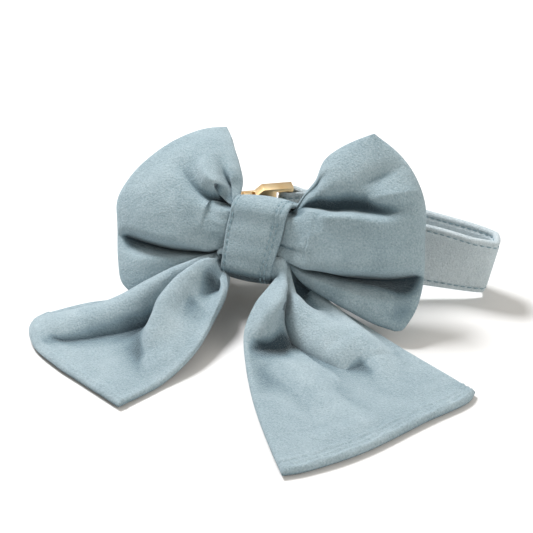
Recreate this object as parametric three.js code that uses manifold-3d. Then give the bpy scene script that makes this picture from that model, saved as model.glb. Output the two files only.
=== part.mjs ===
import * as THREE from "three";
import { mergeVertices } from "three/addons/utils/BufferGeometryUtils.js";
import Module from "manifold-3d";

// A pet collar of padded velvet band with a sailor bow on its front and a gold buckle at its back.
// Millimetres, +Z up, the bow faces -Y, and the origin is on the surface below the middle of the whole.

const wasm = await Module();
wasm.setup();

// Fit
const clearance = 0.3;

// Collar band
const bandWidth = 25;
const bandThickness = 3;
const bandChamfer = 0.9;
const bandStep = 3.8;
const collarReach = 84;
const collarDepth = 54;
const foldBack = 22;
const foldLayer = 1.9;

// Knot band, wrapped round the waist of the bow, the necks of the tails and the collar band
const knotWidth = 23;
const knotWall = 1.8;
const knotRoom = 0.9;
const knotDrop = 1.4;
const knotCorner = 5.5;
const knotBackCorner = 3.9;
const knotSwell = 0.9;
const knotSteps = 48;
const knotAbove = 27.2;

// Bow
const bowLean = THREE.MathUtils.degToRad(25);
const waistDepth = 11.3;
const neckHeight = 6.4;
const loopWall = 1.8;
const loopPuff = 12;
const rightReach = 66;
const rightRise = 47;
const rightSweep = 10;
const leftReach = 63;
const leftRise = 40;
const leftSweep = 25;
const loopSteps = 18;
const loopRows = 20;
const hollowSteps = 9;

// Tails
const tailThickness = 2.8;
const rightTailLength = 100;
const leftTailLength = 90;
const tailSteps = 20;
const tailRows = 21;

// Buckle
const buckleThickness = 6.4;
const buckleRail = 1.7;
const buckleBar = 2.6;
const buckleSlot = 4.6;
const buckleBevel = 0.5;
const buckleAcross = -3.5;
const buckleBack = 44.5;
const buckleTurn = THREE.MathUtils.degToRad(32);
const rightFoldTurn = THREE.MathUtils.degToRad(17);
const leftFoldTurn = THREE.MathUtils.degToRad(-12);
const socketLength = 23;
const plugLength = 20;
const shoulderLength = 3.2;
const shoulderDrop = 2.6;
const pocketDepth = 12;
const pocketWall = 1.6;
const tongueWidth = 8;
const armWidth = 2.4;
const armGap = 2.6;
const earLength = 4.6;
const insertCut = 1;
const insertRoot = 2;
const insertThickness = 2.4;

// The bow stands in a frame of its own: out to the right, forward to the viewer and up, leant back.
const forward = new THREE.Vector3(0, -Math.cos(bowLean), Math.sin(bowLean));
const upward = new THREE.Vector3(0, Math.sin(bowLean), Math.cos(bowLean));
const knotCentre = new THREE.Vector3(0, 0, knotAbove);

function inBow(out, ahead, high) {
  const place = knotCentre.clone();
  place.addScaledVector(forward, ahead);
  place.addScaledVector(upward, high);
  place.x += out;
  return place;
}

// What lies inside the knot, from its front wall to its back wall
const knotInnerHeight = bandWidth + 2 * knotRoom + knotDrop;
const knotInnerDepth = waistDepth + bandThickness + 3 * clearance;
const knotInnerFront = 7.2;
const waistAhead = knotInnerFront - clearance - waistDepth / 2;
const bandAhead = waistAhead - waistDepth / 2 - clearance - bandThickness / 2;
const knotMiddle = knotInnerFront - knotInnerDepth / 2;
const waistTop = bandWidth / 2;
const neckFoot = -bandWidth / 2 - knotDrop;
const neckMiddle = neckFoot + neckHeight / 2;
const waistFoot = neckFoot + neckHeight + clearance;

// Small helpers

function curveOf(points) {
  return new THREE.CatmullRomCurve3(points, false, "centripetal");
}

function lookUp(rows, column, at) {
  let next = rows.findIndex((row) => row.along >= at);
  if (next < 0) next = rows.length - 1;
  if (next === 0) return rows[0][column];
  const before = rows[next - 1];
  const after = rows[next];
  const share = (at - before.along) / (after.along - before.along);
  return THREE.MathUtils.lerp(before[column], after[column], THREE.MathUtils.smoothstep(share, 0, 1));
}

// Shares from 0 to 1, closer together at both ends, where a padded form turns over
function shares(count) {
  const list = [];
  for (let i = 0; i <= count; i += 1) {
    const even = i / count;
    list.push((even + (1 - Math.cos(Math.PI * even)) / 2) / 2);
  }
  return list;
}

function meshOf(name, vertices, faces, material) {
  const geometry = new THREE.BufferGeometry();
  const flat = vertices.flatMap((v) => [v.x, v.y, v.z]);
  geometry.setAttribute("position", new THREE.Float32BufferAttribute(flat, 3));
  geometry.setIndex(faces.flat());
  const mesh = new THREE.Mesh(geometry, material);
  geometry.computeVertexNormals();
  mesh.name = name;
  return mesh;
}

function solidFrom(geometry) {
  const bare = geometry.clone();
  bare.deleteAttribute("normal");
  bare.deleteAttribute("uv");
  const merged = mergeVertices(bare, 1e-4);
  const vertProperties = merged.attributes.position.array;
  const triVerts = new Uint32Array(merged.index.array);
  return new wasm.Manifold(new wasm.Mesh({ numProp: 3, vertProperties, triVerts }));
}

function geometryFrom(solid) {
  const made = solid.getMesh();
  const geometry = new THREE.BufferGeometry();
  geometry.setAttribute("position", new THREE.Float32BufferAttribute(made.vertProperties, 3));
  geometry.setIndex([...made.triVerts]);
  geometry.computeVertexNormals();
  return geometry;
}

// A closed mesh pushed out along its own normals, for cutting room for it in a softer neighbour
function grown(mesh, by) {
  const bare = mesh.geometry.clone();
  bare.deleteAttribute("normal");
  const merged = mergeVertices(bare, 1e-4);
  merged.computeVertexNormals();
  const place = merged.attributes.position;
  const away = merged.attributes.normal;
  for (let i = 0; i < place.count; i += 1) {
    place.setXYZ(
      i,
      place.getX(i) + away.getX(i) * by,
      place.getY(i) + away.getY(i) * by,
      place.getZ(i) + away.getZ(i) * by,
    );
  }
  merged.deleteAttribute("normal");
  return solidFrom(merged);
}

// The cloth gives way to its neighbours, and keeps the largest piece of what is left
function yieldTo(mesh, neighbours) {
  let solid = solidFrom(mesh.geometry);
  for (const neighbour of neighbours) solid = solid.subtract(grown(neighbour, clearance));
  const pieces = solid.decompose().sort((a, b) => b.volume() - a.volume());
  mesh.geometry = geometryFrom(pieces[0]);
}

// A closed ring of sections, each with the same number of points, skinned from one to the next
function skin(sections, closed) {
  const vertices = sections.flat();
  const count = sections[0].length;
  const faces = [];
  const last = closed ? sections.length : sections.length - 1;
  for (let i = 0; i < last; i += 1) {
    const here = i * count;
    const next = ((i + 1) % sections.length) * count;
    for (let j = 0; j < count; j += 1) {
      const k = (j + 1) % count;
      faces.push([here + j, here + k, next + k], [here + j, next + k, next + j]);
    }
  }
  if (!closed) {
    const end = (sections.length - 1) * count;
    for (let j = 1; j < count - 1; j += 1) {
      faces.push([0, j + 1, j], [end, end + j, end + j + 1]);
    }
  }
  return { vertices, faces };
}

// Materials
const velvet = { color: 0x8fabb6, roughness: 0.95, metalness: 0 };
function velvetOf(shade) {
  const color = new THREE.Color(velvet.color).multiplyScalar(shade);
  return new THREE.MeshStandardMaterial({ ...velvet, color });
}
function gold() {
  return new THREE.MeshStandardMaterial({ color: 0xc9a063, roughness: 0.3, metalness: 1 });
}

// A sheet or cushion spanned between a lower, an upper and an outer edge, and gathered at its waist.
// "along" runs from the waist to the outer edge, and "rise" from the lower edge to the upper edge.
class Patch {
  constructor(lower, upper, outer) {
    this.lower = curveOf(lower);
    this.upper = curveOf(upper);
    this.outer = curveOf(outer);
    for (const curve of [this.lower, this.upper, this.outer]) curve.arcLengthDivisions = 300;
    this.corners = [outer[0], outer[outer.length - 1]];
  }

  point(along, rise) {
    const [lowEnd, highEnd] = this.corners;
    const low = this.lower.getPointAt(along);
    const high = this.upper.getPointAt(along);
    const outer = this.outer.getPointAt(rise);
    const place = low.multiplyScalar(1 - rise).addScaledVector(high, rise);
    const pull = along * along;
    place.addScaledVector(outer, pull);
    place.addScaledVector(lowEnd, -pull * (1 - rise));
    place.addScaledVector(highEnd, -pull * rise);
    return place;
  }

  normal(along, rise) {
    const step = 0.02;
    const a = this.point(Math.max(0, along - step), rise);
    const b = this.point(Math.min(1, along + step), rise);
    const c = this.point(along, Math.max(0, rise - step));
    const d = this.point(along, Math.min(1, rise + step));
    return b.sub(a).cross(d.sub(c)).normalize();
  }
}

// One fold of the cloth, which spreads above and below a line of [along, rise, height] rows
function foldOf(above, below, line) {
  return { above, below, line: line.map(([along, rise, height]) => ({ along, rise, height })) };
}

// The height of all the folds together at one place
function foldsAt(folds, along, rise) {
  let sum = 0;
  for (const fold of folds) {
    const line = lookUp(fold.line, "rise", along);
    const height = lookUp(fold.line, "height", along);
    const spread = rise > line ? fold.above : fold.below;
    const away = Math.abs(rise - line) / spread;
    sum += height * Math.exp(-Math.pow(away, 1.6));
  }
  return sum;
}

// Bow loops: hollow cushions of cloth, seamed round their outer edge and open at the waist inside the knot

const rightOutline = {
  upper: [
    { out: 0.22, up: 0.42, ahead: -0.2 },
    { out: 0.26, up: 0.55, ahead: -0.5 },
    { out: 0.29, up: 0.72, ahead: -0.6 },
    { out: 0.35, up: 0.82, ahead: -0.7 },
    { out: 0.44, up: 0.91, ahead: -0.7 },
    { out: 0.56, up: 1.0, ahead: -0.6 },
  ],
  lower: [
    { out: 0.3, up: -0.3, ahead: 0 },
    { out: 0.44, up: -0.375, ahead: 0.1 },
    { out: 0.6, up: -0.44, ahead: 0.2 },
    { out: 0.81, up: -0.52, ahead: 0.2 },
    { out: 0.95, up: -0.53, ahead: 0.3 },
  ],
  outer: [
    { out: 0.99, up: -0.31, ahead: -0.2 },
    { out: 1.0, up: -0.1, ahead: -0.5 },
    { out: 0.96, up: 0.2, ahead: -0.8 },
    { out: 0.92, up: 0.5, ahead: -0.9 },
    { out: 0.83, up: 0.72, ahead: -0.9 },
    { out: 0.72, up: 0.87, ahead: -0.8 },
  ],
};

const leftOutline = {
  upper: [
    { out: 0.21, up: 0.5, ahead: -0.26 },
    { out: 0.29, up: 0.67, ahead: -0.52 },
    { out: 0.36, up: 0.78, ahead: -0.72 },
    { out: 0.43, up: 0.9, ahead: -0.92 },
    { out: 0.49, up: 1.0, ahead: -1.0 },
  ],
  lower: [
    { out: 0.29, up: -0.36, ahead: 0.06 },
    { out: 0.43, up: -0.52, ahead: 0.18 },
    { out: 0.59, up: -0.66, ahead: 0.3 },
    { out: 0.73, up: -0.77, ahead: 0.4 },
  ],
  outer: [
    { out: 0.83, up: -0.68, ahead: 0.32 },
    { out: 0.9, up: -0.47, ahead: 0.2 },
    { out: 0.97, up: -0.13, ahead: 0.04 },
    { out: 1.0, up: 0.1, ahead: 0 },
    { out: 0.96, up: 0.32, ahead: -0.08 },
    { out: 0.89, up: 0.52, ahead: -0.22 },
    { out: 0.77, up: 0.75, ahead: -0.46 },
    { out: 0.62, up: 0.93, ahead: -0.8 },
  ],
};

// How far the front and the back of a loop stand off its middle, as shares of the puff
const rightPuff = [
  { along: 0.32, front: 0.8, back: 0.3 },
  { along: 0.55, front: 1.0, back: 0.5 },
  { along: 0.8, front: 0.9, back: 0.6 },
  { along: 1.0, front: 0.7, back: 0.5 },
];
const leftPuff = [
  { along: 0.32, front: 0.75, back: 0.28 },
  { along: 0.55, front: 0.95, back: 0.42 },
  { along: 0.8, front: 0.95, back: 0.6 },
  { along: 1.0, front: 0.75, back: 0.5 },
];

// Folds that run out from the knot, heights as shares of the puff: the deep crease below the middle roll,
// the crease above it and, on the left, a ridge in the upper part
const rightFolds = [
  foldOf(0.05, 0.1, [
    [0.17, 0.13, -0.5], [0.3, 0.17, -0.75], [0.42, 0.2, -0.85], [0.62, 0.215, -0.95], [0.8, 0.25, -0.95],
    [0.93, 0.28, -0.8], [1, 0.285, -0.5],
  ]),
  foldOf(0.14, 0.05, [
    [0.17, 0.95, -0.45], [0.25, 0.93, -0.55], [0.4, 0.78, -0.65], [0.55, 0.655, -0.65],
    [0.68, 0.605, -0.55], [0.81, 0.575, -0.35], [0.92, 0.59, -0.1], [1, 0.59, 0],
  ]),
];
const leftFolds = [
  foldOf(0.05, 0.1, [
    [0.17, 0.08, -0.5], [0.35, 0.15, -0.8], [0.5, 0.2, -0.95], [0.7, 0.235, -0.95], [0.88, 0.265, -0.8],
    [1, 0.27, -0.35],
  ]),
  foldOf(0.09, 0.06, [
    [0.17, 0.9, -0.45], [0.3, 0.77, -0.6], [0.42, 0.65, -0.55], [0.52, 0.61, -0.45],
    [0.65, 0.635, -0.3], [0.78, 0.67, -0.2], [0.9, 0.7, 0], [1, 0.7, 0],
  ]),
  foldOf(0.06, 0.05, [
    [0.2, 0.88, 0], [0.4, 0.77, 0.25], [0.52, 0.73, 0.25], [0.62, 0.74, 0.15], [0.74, 0.77, 0],
    [1, 0.77, 0],
  ]),
];

// How far out the even part of a waist or neck begins, and where it ends as it leaves the knot
const waistOuts = [clearance / 2, knotWidth / 2 - 1, knotWidth / 2 + 0.6];

function loopPatch(outline, reach, rise, sweep) {
  const place = (row) => new THREE.Vector3(row.out * reach, row.ahead * sweep, row.up * rise);
  const waist = (height) => waistOuts.map((out) => new THREE.Vector3(out, waistAhead, height));
  const lower = [...waist(waistFoot), ...outline.lower.map(place)];
  const upper = [...waist(waistTop), ...outline.upper.map(place)];
  const outer = [lower[lower.length - 1], ...outline.outer.map(place), upper[upper.length - 1]];
  return new Patch(lower, upper, outer);
}

function bowLoop(name, side, patch, puffs, folds) {
  const exitShare = 0.17;
  const rows = [
    { along: 0, front: waistDepth / 2 / loopPuff, back: waistDepth / 2 / loopPuff },
    { along: exitShare, front: waistDepth / 2 / loopPuff, back: waistDepth / 2 / loopPuff },
    ...puffs,
  ];
  // The front and back places of the cushion, both at the same share along and up the loop
  function pair(along, rise, wall) {
    const middle = patch.point(along, rise);
    const normal = patch.normal(along, rise).multiplyScalar(-1);
    const fullness = THREE.MathUtils.lerp(4, 2, THREE.MathUtils.smoothstep(along, 0.1, 0.45));
    const rounded = Math.sqrt(Math.max(0, 1 - Math.pow(Math.abs(2 * rise - 1), fullness)));
    const seam = Math.sqrt(Math.max(0, 1 - Math.pow(along, 8)));
    const shape = rounded * seam * loopPuff;
    let front = lookUp(rows, "front", along) * shape;
    let back = lookUp(rows, "back", along) * shape;
    if (along > exitShare) front += foldsAt(folds, along, rise) * shape;
    else front += Math.min(0, foldsAt(folds, along, rise)) * shape;
    const centre = (front - back) / 2;
    const half = (front + back) / 2;
    const room = wall ? Math.max(0.06, half - wall) : half;
    return [centre + room, centre - room].map((stand) => {
      const p = middle.clone().addScaledVector(normal, stand);
      return inBow(side * p.x, p.y, p.z);
    });
  }
  const vertices = [];
  const faces = [];
  // One closed shape, open at its waist, as two grids that share their lower, outer and upper edges
  function pocket(alongList, riseList, wall) {
    const start = vertices.length;
    const index = { front: [], back: [] };
    alongList.forEach((along, i) => {
      index.front.push([]);
      index.back.push([]);
      riseList.forEach((rise, j) => {
        const edge = j === 0 || j === riseList.length - 1 || i === alongList.length - 1;
        const [front, back] = pair(along, rise, wall);
        if (edge) {
          vertices.push(front.lerp(back, 0.5));
          index.front[i].push(vertices.length - 1);
          index.back[i].push(vertices.length - 1);
        } else {
          vertices.push(front, back);
          index.front[i].push(vertices.length - 2);
          index.back[i].push(vertices.length - 1);
        }
      });
    });
    for (let i = 0; i < alongList.length - 1; i += 1) {
      for (let j = 0; j < riseList.length - 1; j += 1) {
        for (const key of ["front", "back"]) {
          const grid = index[key];
          const quad = [grid[i][j], grid[i + 1][j], grid[i + 1][j + 1], grid[i][j + 1]];
          const turned = (key === "front") === (side > 0) ? quad : quad.reverse();
          addQuad(turned, wall > 0);
        }
      }
    }
    return [...index.front[0], ...index.back[0].slice(1, -1).reverse()];
  }
  function addQuad(quad, inward) {
    const [a, b, c, d] = inward ? [...quad].reverse() : quad;
    for (const face of [[a, b, c], [a, c, d]]) {
      if (new Set(face).size === 3) faces.push(face);
    }
  }
  const outerRim = pocket(shares(loopSteps), shares(loopRows), 0);
  const insideAlong = shares(hollowSteps).map((at) => at * 0.95);
  const insideRise = shares(loopRows).map((at) => 0.05 + at * 0.9);
  const innerRim = pocket(insideAlong, insideRise, loopWall);
  for (let k = 0; k < outerRim.length; k += 1) {
    const n = (k + 1) % outerRim.length;
    const quad = [outerRim[k], outerRim[n], innerRim[n], innerRim[k]];
    addQuad(side > 0 ? quad : quad.reverse(), false);
  }
  return meshOf(name, vertices, faces, velvetOf(1));
}

const rightPatch = loopPatch(rightOutline, rightReach, rightRise, rightSweep);
const leftPatch = loopPatch(leftOutline, leftReach, leftRise, leftSweep);
const loopRight = bowLoop("bow_loop_right", 1, rightPatch, rightPuff, rightFolds);
const loopLeft = bowLoop("bow_loop_left", -1, leftPatch, leftPuff, leftFolds);

// Knot band: a ring of cloth with rounded corners

function knotBand() {
  const outerHeight = knotInnerHeight + 2 * knotWall;
  const outerDepth = knotInnerDepth + 2 * knotWall;
  const round = [
    { across: 0.5, inset: 0.35 },
    { across: 0.5, inset: 0.75 },
    { across: 0.48, inset: 1 },
    { across: 0, inset: 1 },
    { across: -0.48, inset: 1 },
    { across: -0.5, inset: 0.75 },
    { across: -0.5, inset: 0.35 },
    { across: -0.47, inset: 0 },
    { across: 0, inset: -1 },
    { across: 0.47, inset: 0 },
  ];
  const sections = [];
  for (let k = 0; k < 4; k += 1) {
    const perCorner = knotSteps / 4;
    const corner = k === 0 || k === 3 ? knotCorner : knotBackCorner;
    const wide = outerDepth / 2 - corner;
    const tall = outerHeight / 2 - corner;
    for (let i = 0; i < perCorner; i += 1) {
      const turn = (k + i / (perCorner - 1)) * (Math.PI / 2);
      const cos = Math.cos(turn);
      const sin = Math.sin(turn);
      const signAhead = k === 0 || k === 3 ? 1 : -1;
      const signUp = k < 2 ? 1 : -1;
      sections.push(
        round.map((row) => {
          const swell = row.inset < 0 ? knotSwell : 0;
          const depth = row.inset > 0 ? row.inset * knotWall : 0;
          const ahead = knotMiddle + signAhead * wide + cos * (corner - depth + swell);
          const high = signUp * tall + sin * (corner - depth + swell);
          return inBow(row.across * knotWidth, ahead, high - knotDrop / 2);
        }),
      );
    }
  }
  const { vertices, faces } = skin(sections, true);
  return meshOf("knot_band", vertices, faces, velvetOf(1.02));
}

const knot = knotBand();

// Tails: double sheets of cloth, gathered to a neck under the waist and spread on the surface in front

const rightTailRows = {
  near: [
    { across: 0.125, ahead: 0.1, high: 0.165 },
    { across: 0.105, ahead: 0.18, high: 0.16 },
    { across: 0.095, ahead: 0.28, high: 0.13 },
    { across: 0.1, ahead: 0.4, high: 0.08 },
    { across: 0.16, ahead: 0.53, high: 0.03 },
    { across: 0.28, ahead: 0.73, high: 0 },
    { across: 0.42, ahead: 0.93, high: 0 },
    { across: 0.5, ahead: 1.035, high: 0 },
  ],
  far: [
    { across: 0.15, ahead: 0.01, high: 0.115 },
    { across: 0.2, ahead: 0.0, high: 0.06 },
    { across: 0.31, ahead: 0.025, high: 0.025 },
    { across: 0.47, ahead: 0.09, high: 0.01 },
    { across: 0.65, ahead: 0.18, high: 0 },
    { across: 0.85, ahead: 0.28, high: 0 },
    { across: 0.97, ahead: 0.345, high: 0 },
  ],
  end: [
    { across: 0.56, ahead: 0.99, high: 0 },
    { across: 0.7, ahead: 0.835, high: 0 },
    { across: 0.86, ahead: 0.57, high: 0 },
    { across: 0.965, ahead: 0.4, high: 0 },
  ],
};

const leftTailRows = {
  near: [
    { across: 0.14, ahead: 0.12, high: 0.18 },
    { across: 0.09, ahead: 0.19, high: 0.16 },
    { across: 0.05, ahead: 0.27, high: 0.14 },
    { across: 0.04, ahead: 0.39, high: 0.1 },
    { across: 0.035, ahead: 0.6, high: 0.045 },
    { across: 0.09, ahead: 0.81, high: 0 },
    { across: 0.16, ahead: 1.03, high: 0 },
  ],
  far: [
    { across: 0.2, ahead: 0.08, high: 0.12 },
    { across: 0.34, ahead: 0.18, high: 0.05 },
    { across: 0.5, ahead: 0.27, high: 0.01 },
    { across: 0.66, ahead: 0.37, high: 0 },
    { across: 0.79, ahead: 0.52, high: 0 },
  ],
  end: [
    { across: 0.3, ahead: 0.96, high: 0 },
    { across: 0.43, ahead: 0.9, high: 0 },
    { across: 0.56, ahead: 0.84, high: 0 },
    { across: 0.72, ahead: 0.745, high: 0 },
    { across: 0.8, ahead: 0.63, high: 0 },
  ],
};

// Heights as shares of the tail's length. On the right: the roll by the knot, the valley beside it,
// the fold over that valley and the broad ridge beyond.
const rightTailFolds = [
  foldOf(0.17, 0.17, [
    [0.14, 0.2, 0.01], [0.22, 0.2, 0.05], [0.3, 0.2, 0.075], [0.38, 0.2, 0.06], [0.46, 0.18, -0.005],
    [1, 0.18, 0],
  ]),
  foldOf(0.07, 0.08, [
    [0.16, 0.44, -0.02], [0.24, 0.43, -0.06], [0.32, 0.43, -0.08], [0.38, 0.44, -0.07],
    [0.53, 0.51, -0.04], [0.67, 0.61, 0], [1, 0.61, 0],
  ]),
  foldOf(0.09, 0.07, [
    [0.14, 0.55, 0], [0.25, 0.55, 0.05], [0.35, 0.53, 0.05], [0.45, 0.55, 0.045], [0.56, 0.6, 0.035],
    [0.68, 0.65, 0], [1, 0.65, 0],
  ]),
  foldOf(0.1, 0.12, [
    [0.2, 0.82, 0], [0.36, 0.8, 0.045], [0.5, 0.78, 0.045], [0.62, 0.77, 0.03], [0.9, 0.73, 0],
    [1, 0.73, 0],
  ]),
];
// On the left: the near roll, the valley behind it and the roll along the far edge
const leftTailFolds = [
  foldOf(0.1, 0.16, [
    [0.14, 0.36, 0.02], [0.28, 0.42, 0.06], [0.4, 0.5, 0.08], [0.52, 0.53, 0.07], [0.62, 0.5, 0.04],
    [0.76, 0.45, 0], [1, 0.45, 0],
  ]),
  foldOf(0.08, 0.08, [
    [0.2, 0.62, 0], [0.35, 0.66, -0.03], [0.48, 0.68, -0.045], [0.58, 0.64, -0.04], [0.7, 0.6, -0.02],
    [0.9, 0.62, 0], [1, 0.62, 0],
  ]),
  foldOf(0.12, 0.12, [
    [0.14, 0.82, 0.01], [0.3, 0.84, 0.07], [0.45, 0.84, 0.105], [0.6, 0.84, 0.08], [0.75, 0.84, 0.05],
    [0.92, 0.84, 0], [1, 0.84, 0],
  ]),
];

function tail(name, side, length, rows, folds) {
  const lift = tailThickness / 2;
  const place = (row) =>
    new THREE.Vector3(side * row.across * length, -row.ahead * length, lift + row.high * length);
  const neckFront = waistAhead + waistDepth / 2 - tailThickness / 2;
  const neckBack = waistAhead - waistDepth / 2 + tailThickness / 2;
  const neck = (ahead) => waistOuts.map((out) => inBow(side * out, ahead, neckMiddle));
  const lower = [...neck(neckFront), ...rows.near.map(place)];
  const upper = [...neck(neckBack), ...rows.far.map(place)];
  const outer = [lower[lower.length - 1], ...rows.end.map(place), upper[upper.length - 1]];
  const patch = new Patch(lower, upper, outer);
  const alongList = shares(tailSteps);
  const riseList = shares(tailRows);
  const vertices = [];
  const faces = [];
  const top = [];
  const bottom = [];
  alongList.forEach((along) => {
    top.push([]);
    bottom.push([]);
    riseList.forEach((rise) => {
      const middle = patch.point(along, rise);
      const normal = patch.normal(along, rise);
      if (normal.z < 0) normal.negate();
      const atEdge = Math.min(1, 12 * rise * (1 - rise));
      const pastKnot = THREE.MathUtils.smoothstep(along, 0.1, 0.24);
      middle.addScaledVector(normal, foldsAt(folds, along, rise) * atEdge * pastKnot * length);
      middle.z = Math.max(middle.z, lift);
      const neckHalf = (neckHeight / 2) * (0.35 + 0.65 * Math.sqrt(1 - Math.pow(2 * rise - 1, 4)));
      const half = THREE.MathUtils.lerp(neckHalf, tailThickness / 2, Math.min(1, along / 0.3));
      vertices.push(middle.clone().addScaledVector(normal, half));
      top[top.length - 1].push(vertices.length - 1);
      vertices.push(middle.clone().addScaledVector(normal, -half));
      vertices[vertices.length - 1].z = Math.max(0, vertices[vertices.length - 1].z);
      bottom[bottom.length - 1].push(vertices.length - 1);
    });
  });
  const addQuad = (a, b, c, d) => {
    const [p, q, r, s] = side > 0 ? [a, b, c, d] : [d, c, b, a];
    faces.push([p, q, r], [p, r, s]);
  };
  const m = alongList.length - 1;
  const n = riseList.length - 1;
  for (let i = 0; i < m; i += 1) {
    for (let j = 0; j < n; j += 1) {
      addQuad(top[i][j], top[i + 1][j], top[i + 1][j + 1], top[i][j + 1]);
      addQuad(bottom[i][j + 1], bottom[i + 1][j + 1], bottom[i + 1][j], bottom[i][j]);
    }
    addQuad(bottom[i][0], bottom[i + 1][0], top[i + 1][0], top[i][0]);
    addQuad(top[i][n], top[i + 1][n], bottom[i + 1][n], bottom[i][n]);
  }
  for (let j = 0; j < n; j += 1) {
    addQuad(top[m][j], bottom[m][j], bottom[m][j + 1], top[m][j + 1]);
    addQuad(top[0][j + 1], bottom[0][j + 1], bottom[0][j], top[0][j]);
  }
  return meshOf(name, vertices, faces, velvetOf(0.98));
}

const tailRight = tail("tail_right", 1, rightTailLength, rightTailRows, rightTailFolds);
const tailLeft = tail("tail_left", -1, leftTailLength, leftTailRows, leftTailFolds);

// Collar band: one padded strip, from the buckle round the neck and back to the buckle.
// Each row is the lower edge of the band; "lean" in degrees tips its upper edge out of the loop.
const collarRows = [
  { across: 0.4, back: 0.97, foot: 0.04, lean: 1 },
  { across: 0.64, back: 0.88, foot: 0.03, lean: 4 },
  { across: 0.88, back: 0.78, foot: 0.03, lean: 8 },
  { across: 0.955, back: 0.71, foot: 0.05, lean: 12 },
  { across: 0.97, back: 0.63, foot: 0.08, lean: 12 },
  { across: 0.92, back: 0.575, foot: 0.12, lean: 4 },
  { across: 0.72, back: 0.455, foot: 0.22, lean: -14 },
  { across: 0.44, back: 0.285, foot: 0.36, lean: -20 },
  { across: 0.26, back: 0.165, foot: 0.45, lean: -23 },
];
const collarRowsLeft = [
  { across: -0.26, back: 0.165, foot: 0.44, lean: -16 },
  { across: -0.44, back: 0.22, foot: 0.34, lean: -7 },
  { across: -0.63, back: 0.25, foot: 0.22, lean: -4 },
  { across: -0.76, back: 0.285, foot: 0.14, lean: -2 },
  { across: -0.81, back: 0.38, foot: 0.11, lean: 1 },
  { across: -0.785, back: 0.48, foot: 0.09, lean: 1 },
];

// The buckle stands in a frame of its own: along from its right end, outward from its middle plane, and up.
const buckleHeight = bandWidth + 2 * (clearance + buckleRail);
const buckleLength = socketLength + clearance + plugLength;
const buckleFoot = buckleRail + clearance;

function byBuckle(along, outward, high) {
  const cos = Math.cos(buckleTurn);
  const sin = Math.sin(buckleTurn);
  const across = buckleAcross - along * cos - outward * sin;
  return new THREE.Vector3(across, buckleBack - along * sin + outward * cos, high);
}

// Turns a shape drawn along and up the buckle, with its thickness about its middle plane, into the frame
const buckleFrame = new THREE.Matrix4().makeBasis(
  byBuckle(1, 0, 0).sub(byBuckle(0, 0, 0)),
  new THREE.Vector3(0, 0, 1),
  byBuckle(0, 1, 0).sub(byBuckle(0, 0, 0)),
);
buckleFrame.setPosition(byBuckle(0, 0, buckleHeight / 2));

function plate(outline, holes, thickness, bevel) {
  const shape = new THREE.Shape(outline.map(([x, y]) => new THREE.Vector2(x, y)));
  for (const hole of holes) {
    shape.holes.push(new THREE.Path(hole.map(([x, y]) => new THREE.Vector2(x, y))));
  }
  const geometry = new THREE.ExtrudeGeometry(shape, {
    depth: thickness - 2 * bevel,
    bevelEnabled: bevel > 0,
    bevelThickness: bevel,
    bevelSize: bevel,
    bevelOffset: -bevel,
    bevelSegments: 2,
    curveSegments: 8,
  });
  geometry.translate(0, 0, bevel - thickness / 2);
  return solidFrom(geometry);
}

function boxSolid(fromAlong, toAlong, fromHigh, toHigh, fromOut, toOut) {
  const geometry = new THREE.BoxGeometry(toAlong - fromAlong, toHigh - fromHigh, toOut - fromOut);
  geometry.translate((fromAlong + toAlong) / 2, (fromHigh + toHigh) / 2, (fromOut + toOut) / 2);
  return solidFrom(geometry);
}

function placed(name, solid, frame, material) {
  const geometry = geometryFrom(solid);
  geometry.applyMatrix4(frame);
  geometry.computeVertexNormals();
  const mesh = new THREE.Mesh(geometry, material);
  mesh.name = name;
  return mesh;
}

// A place by how far it is from a buckle bar, toward the buckle and outward, in line with the band's end
function fromBar(side, along, outward, high) {
  const bar = byBuckle(side > 0 ? buckleBar / 2 : buckleLength - buckleBar / 2, 0, high);
  const turn = side > 0 ? rightFoldTurn : leftFoldTurn;
  const cos = Math.cos(turn);
  const sin = Math.sin(turn);
  bar.x += -side * along * cos - outward * sin;
  bar.y += -side * along * sin + outward * cos;
  return bar;
}

// The end of the band, turned round a buckle bar and sewn back on itself, drawn with the bar at zero
function bandFold(side) {
  const eye = buckleBar * Math.SQRT1_2 + clearance;
  const outer = eye + bandThickness;
  const half = bandThickness / 2;
  const shape = new THREE.Shape();
  const reach = foldBack;
  shape.moveTo(-reach, half);
  shape.lineTo(-outer * 1.6, half + foldLayer * 0.6);
  const steps = 14;
  const opening = Math.PI * 0.62;
  for (let i = 0; i <= steps; i += 1) {
    const angle = opening - (2 * opening * i) / steps;
    shape.lineTo(outer * Math.cos(angle), outer * Math.sin(angle));
  }
  shape.lineTo(-outer * 1.6, -half - foldLayer);
  shape.lineTo(-reach, -half - foldLayer);
  const hole = new THREE.Path();
  hole.moveTo(-outer * 1.1, -foldLayer * 0.3);
  for (let i = 0; i <= steps; i += 1) {
    const angle = -opening + (2 * opening * i) / steps;
    hole.lineTo(eye * Math.cos(angle), eye * Math.sin(angle));
  }
  shape.holes.push(hole);
  const geometry = new THREE.ExtrudeGeometry(shape, { depth: bandWidth, bevelEnabled: false });
  const turned = solidFrom(geometry).getMesh();
  const vertProperties = new Float32Array(turned.vertProperties.length);
  for (let i = 0; i < vertProperties.length; i += 3) {
    const [along, outward, high] = turned.vertProperties.slice(i, i + 3);
    fromBar(side, along, outward, buckleFoot + high).toArray(vertProperties, i);
  }
  const triVerts = new Uint32Array(turned.triVerts);
  if (side > 0) {
    for (let i = 0; i < triVerts.length; i += 3) {
      [triVerts[i + 1], triVerts[i + 2]] = [triVerts[i + 2], triVerts[i + 1]];
    }
  }
  return new wasm.Manifold(new wasm.Mesh({ numProp: 3, vertProperties, triVerts }));
}

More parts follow.
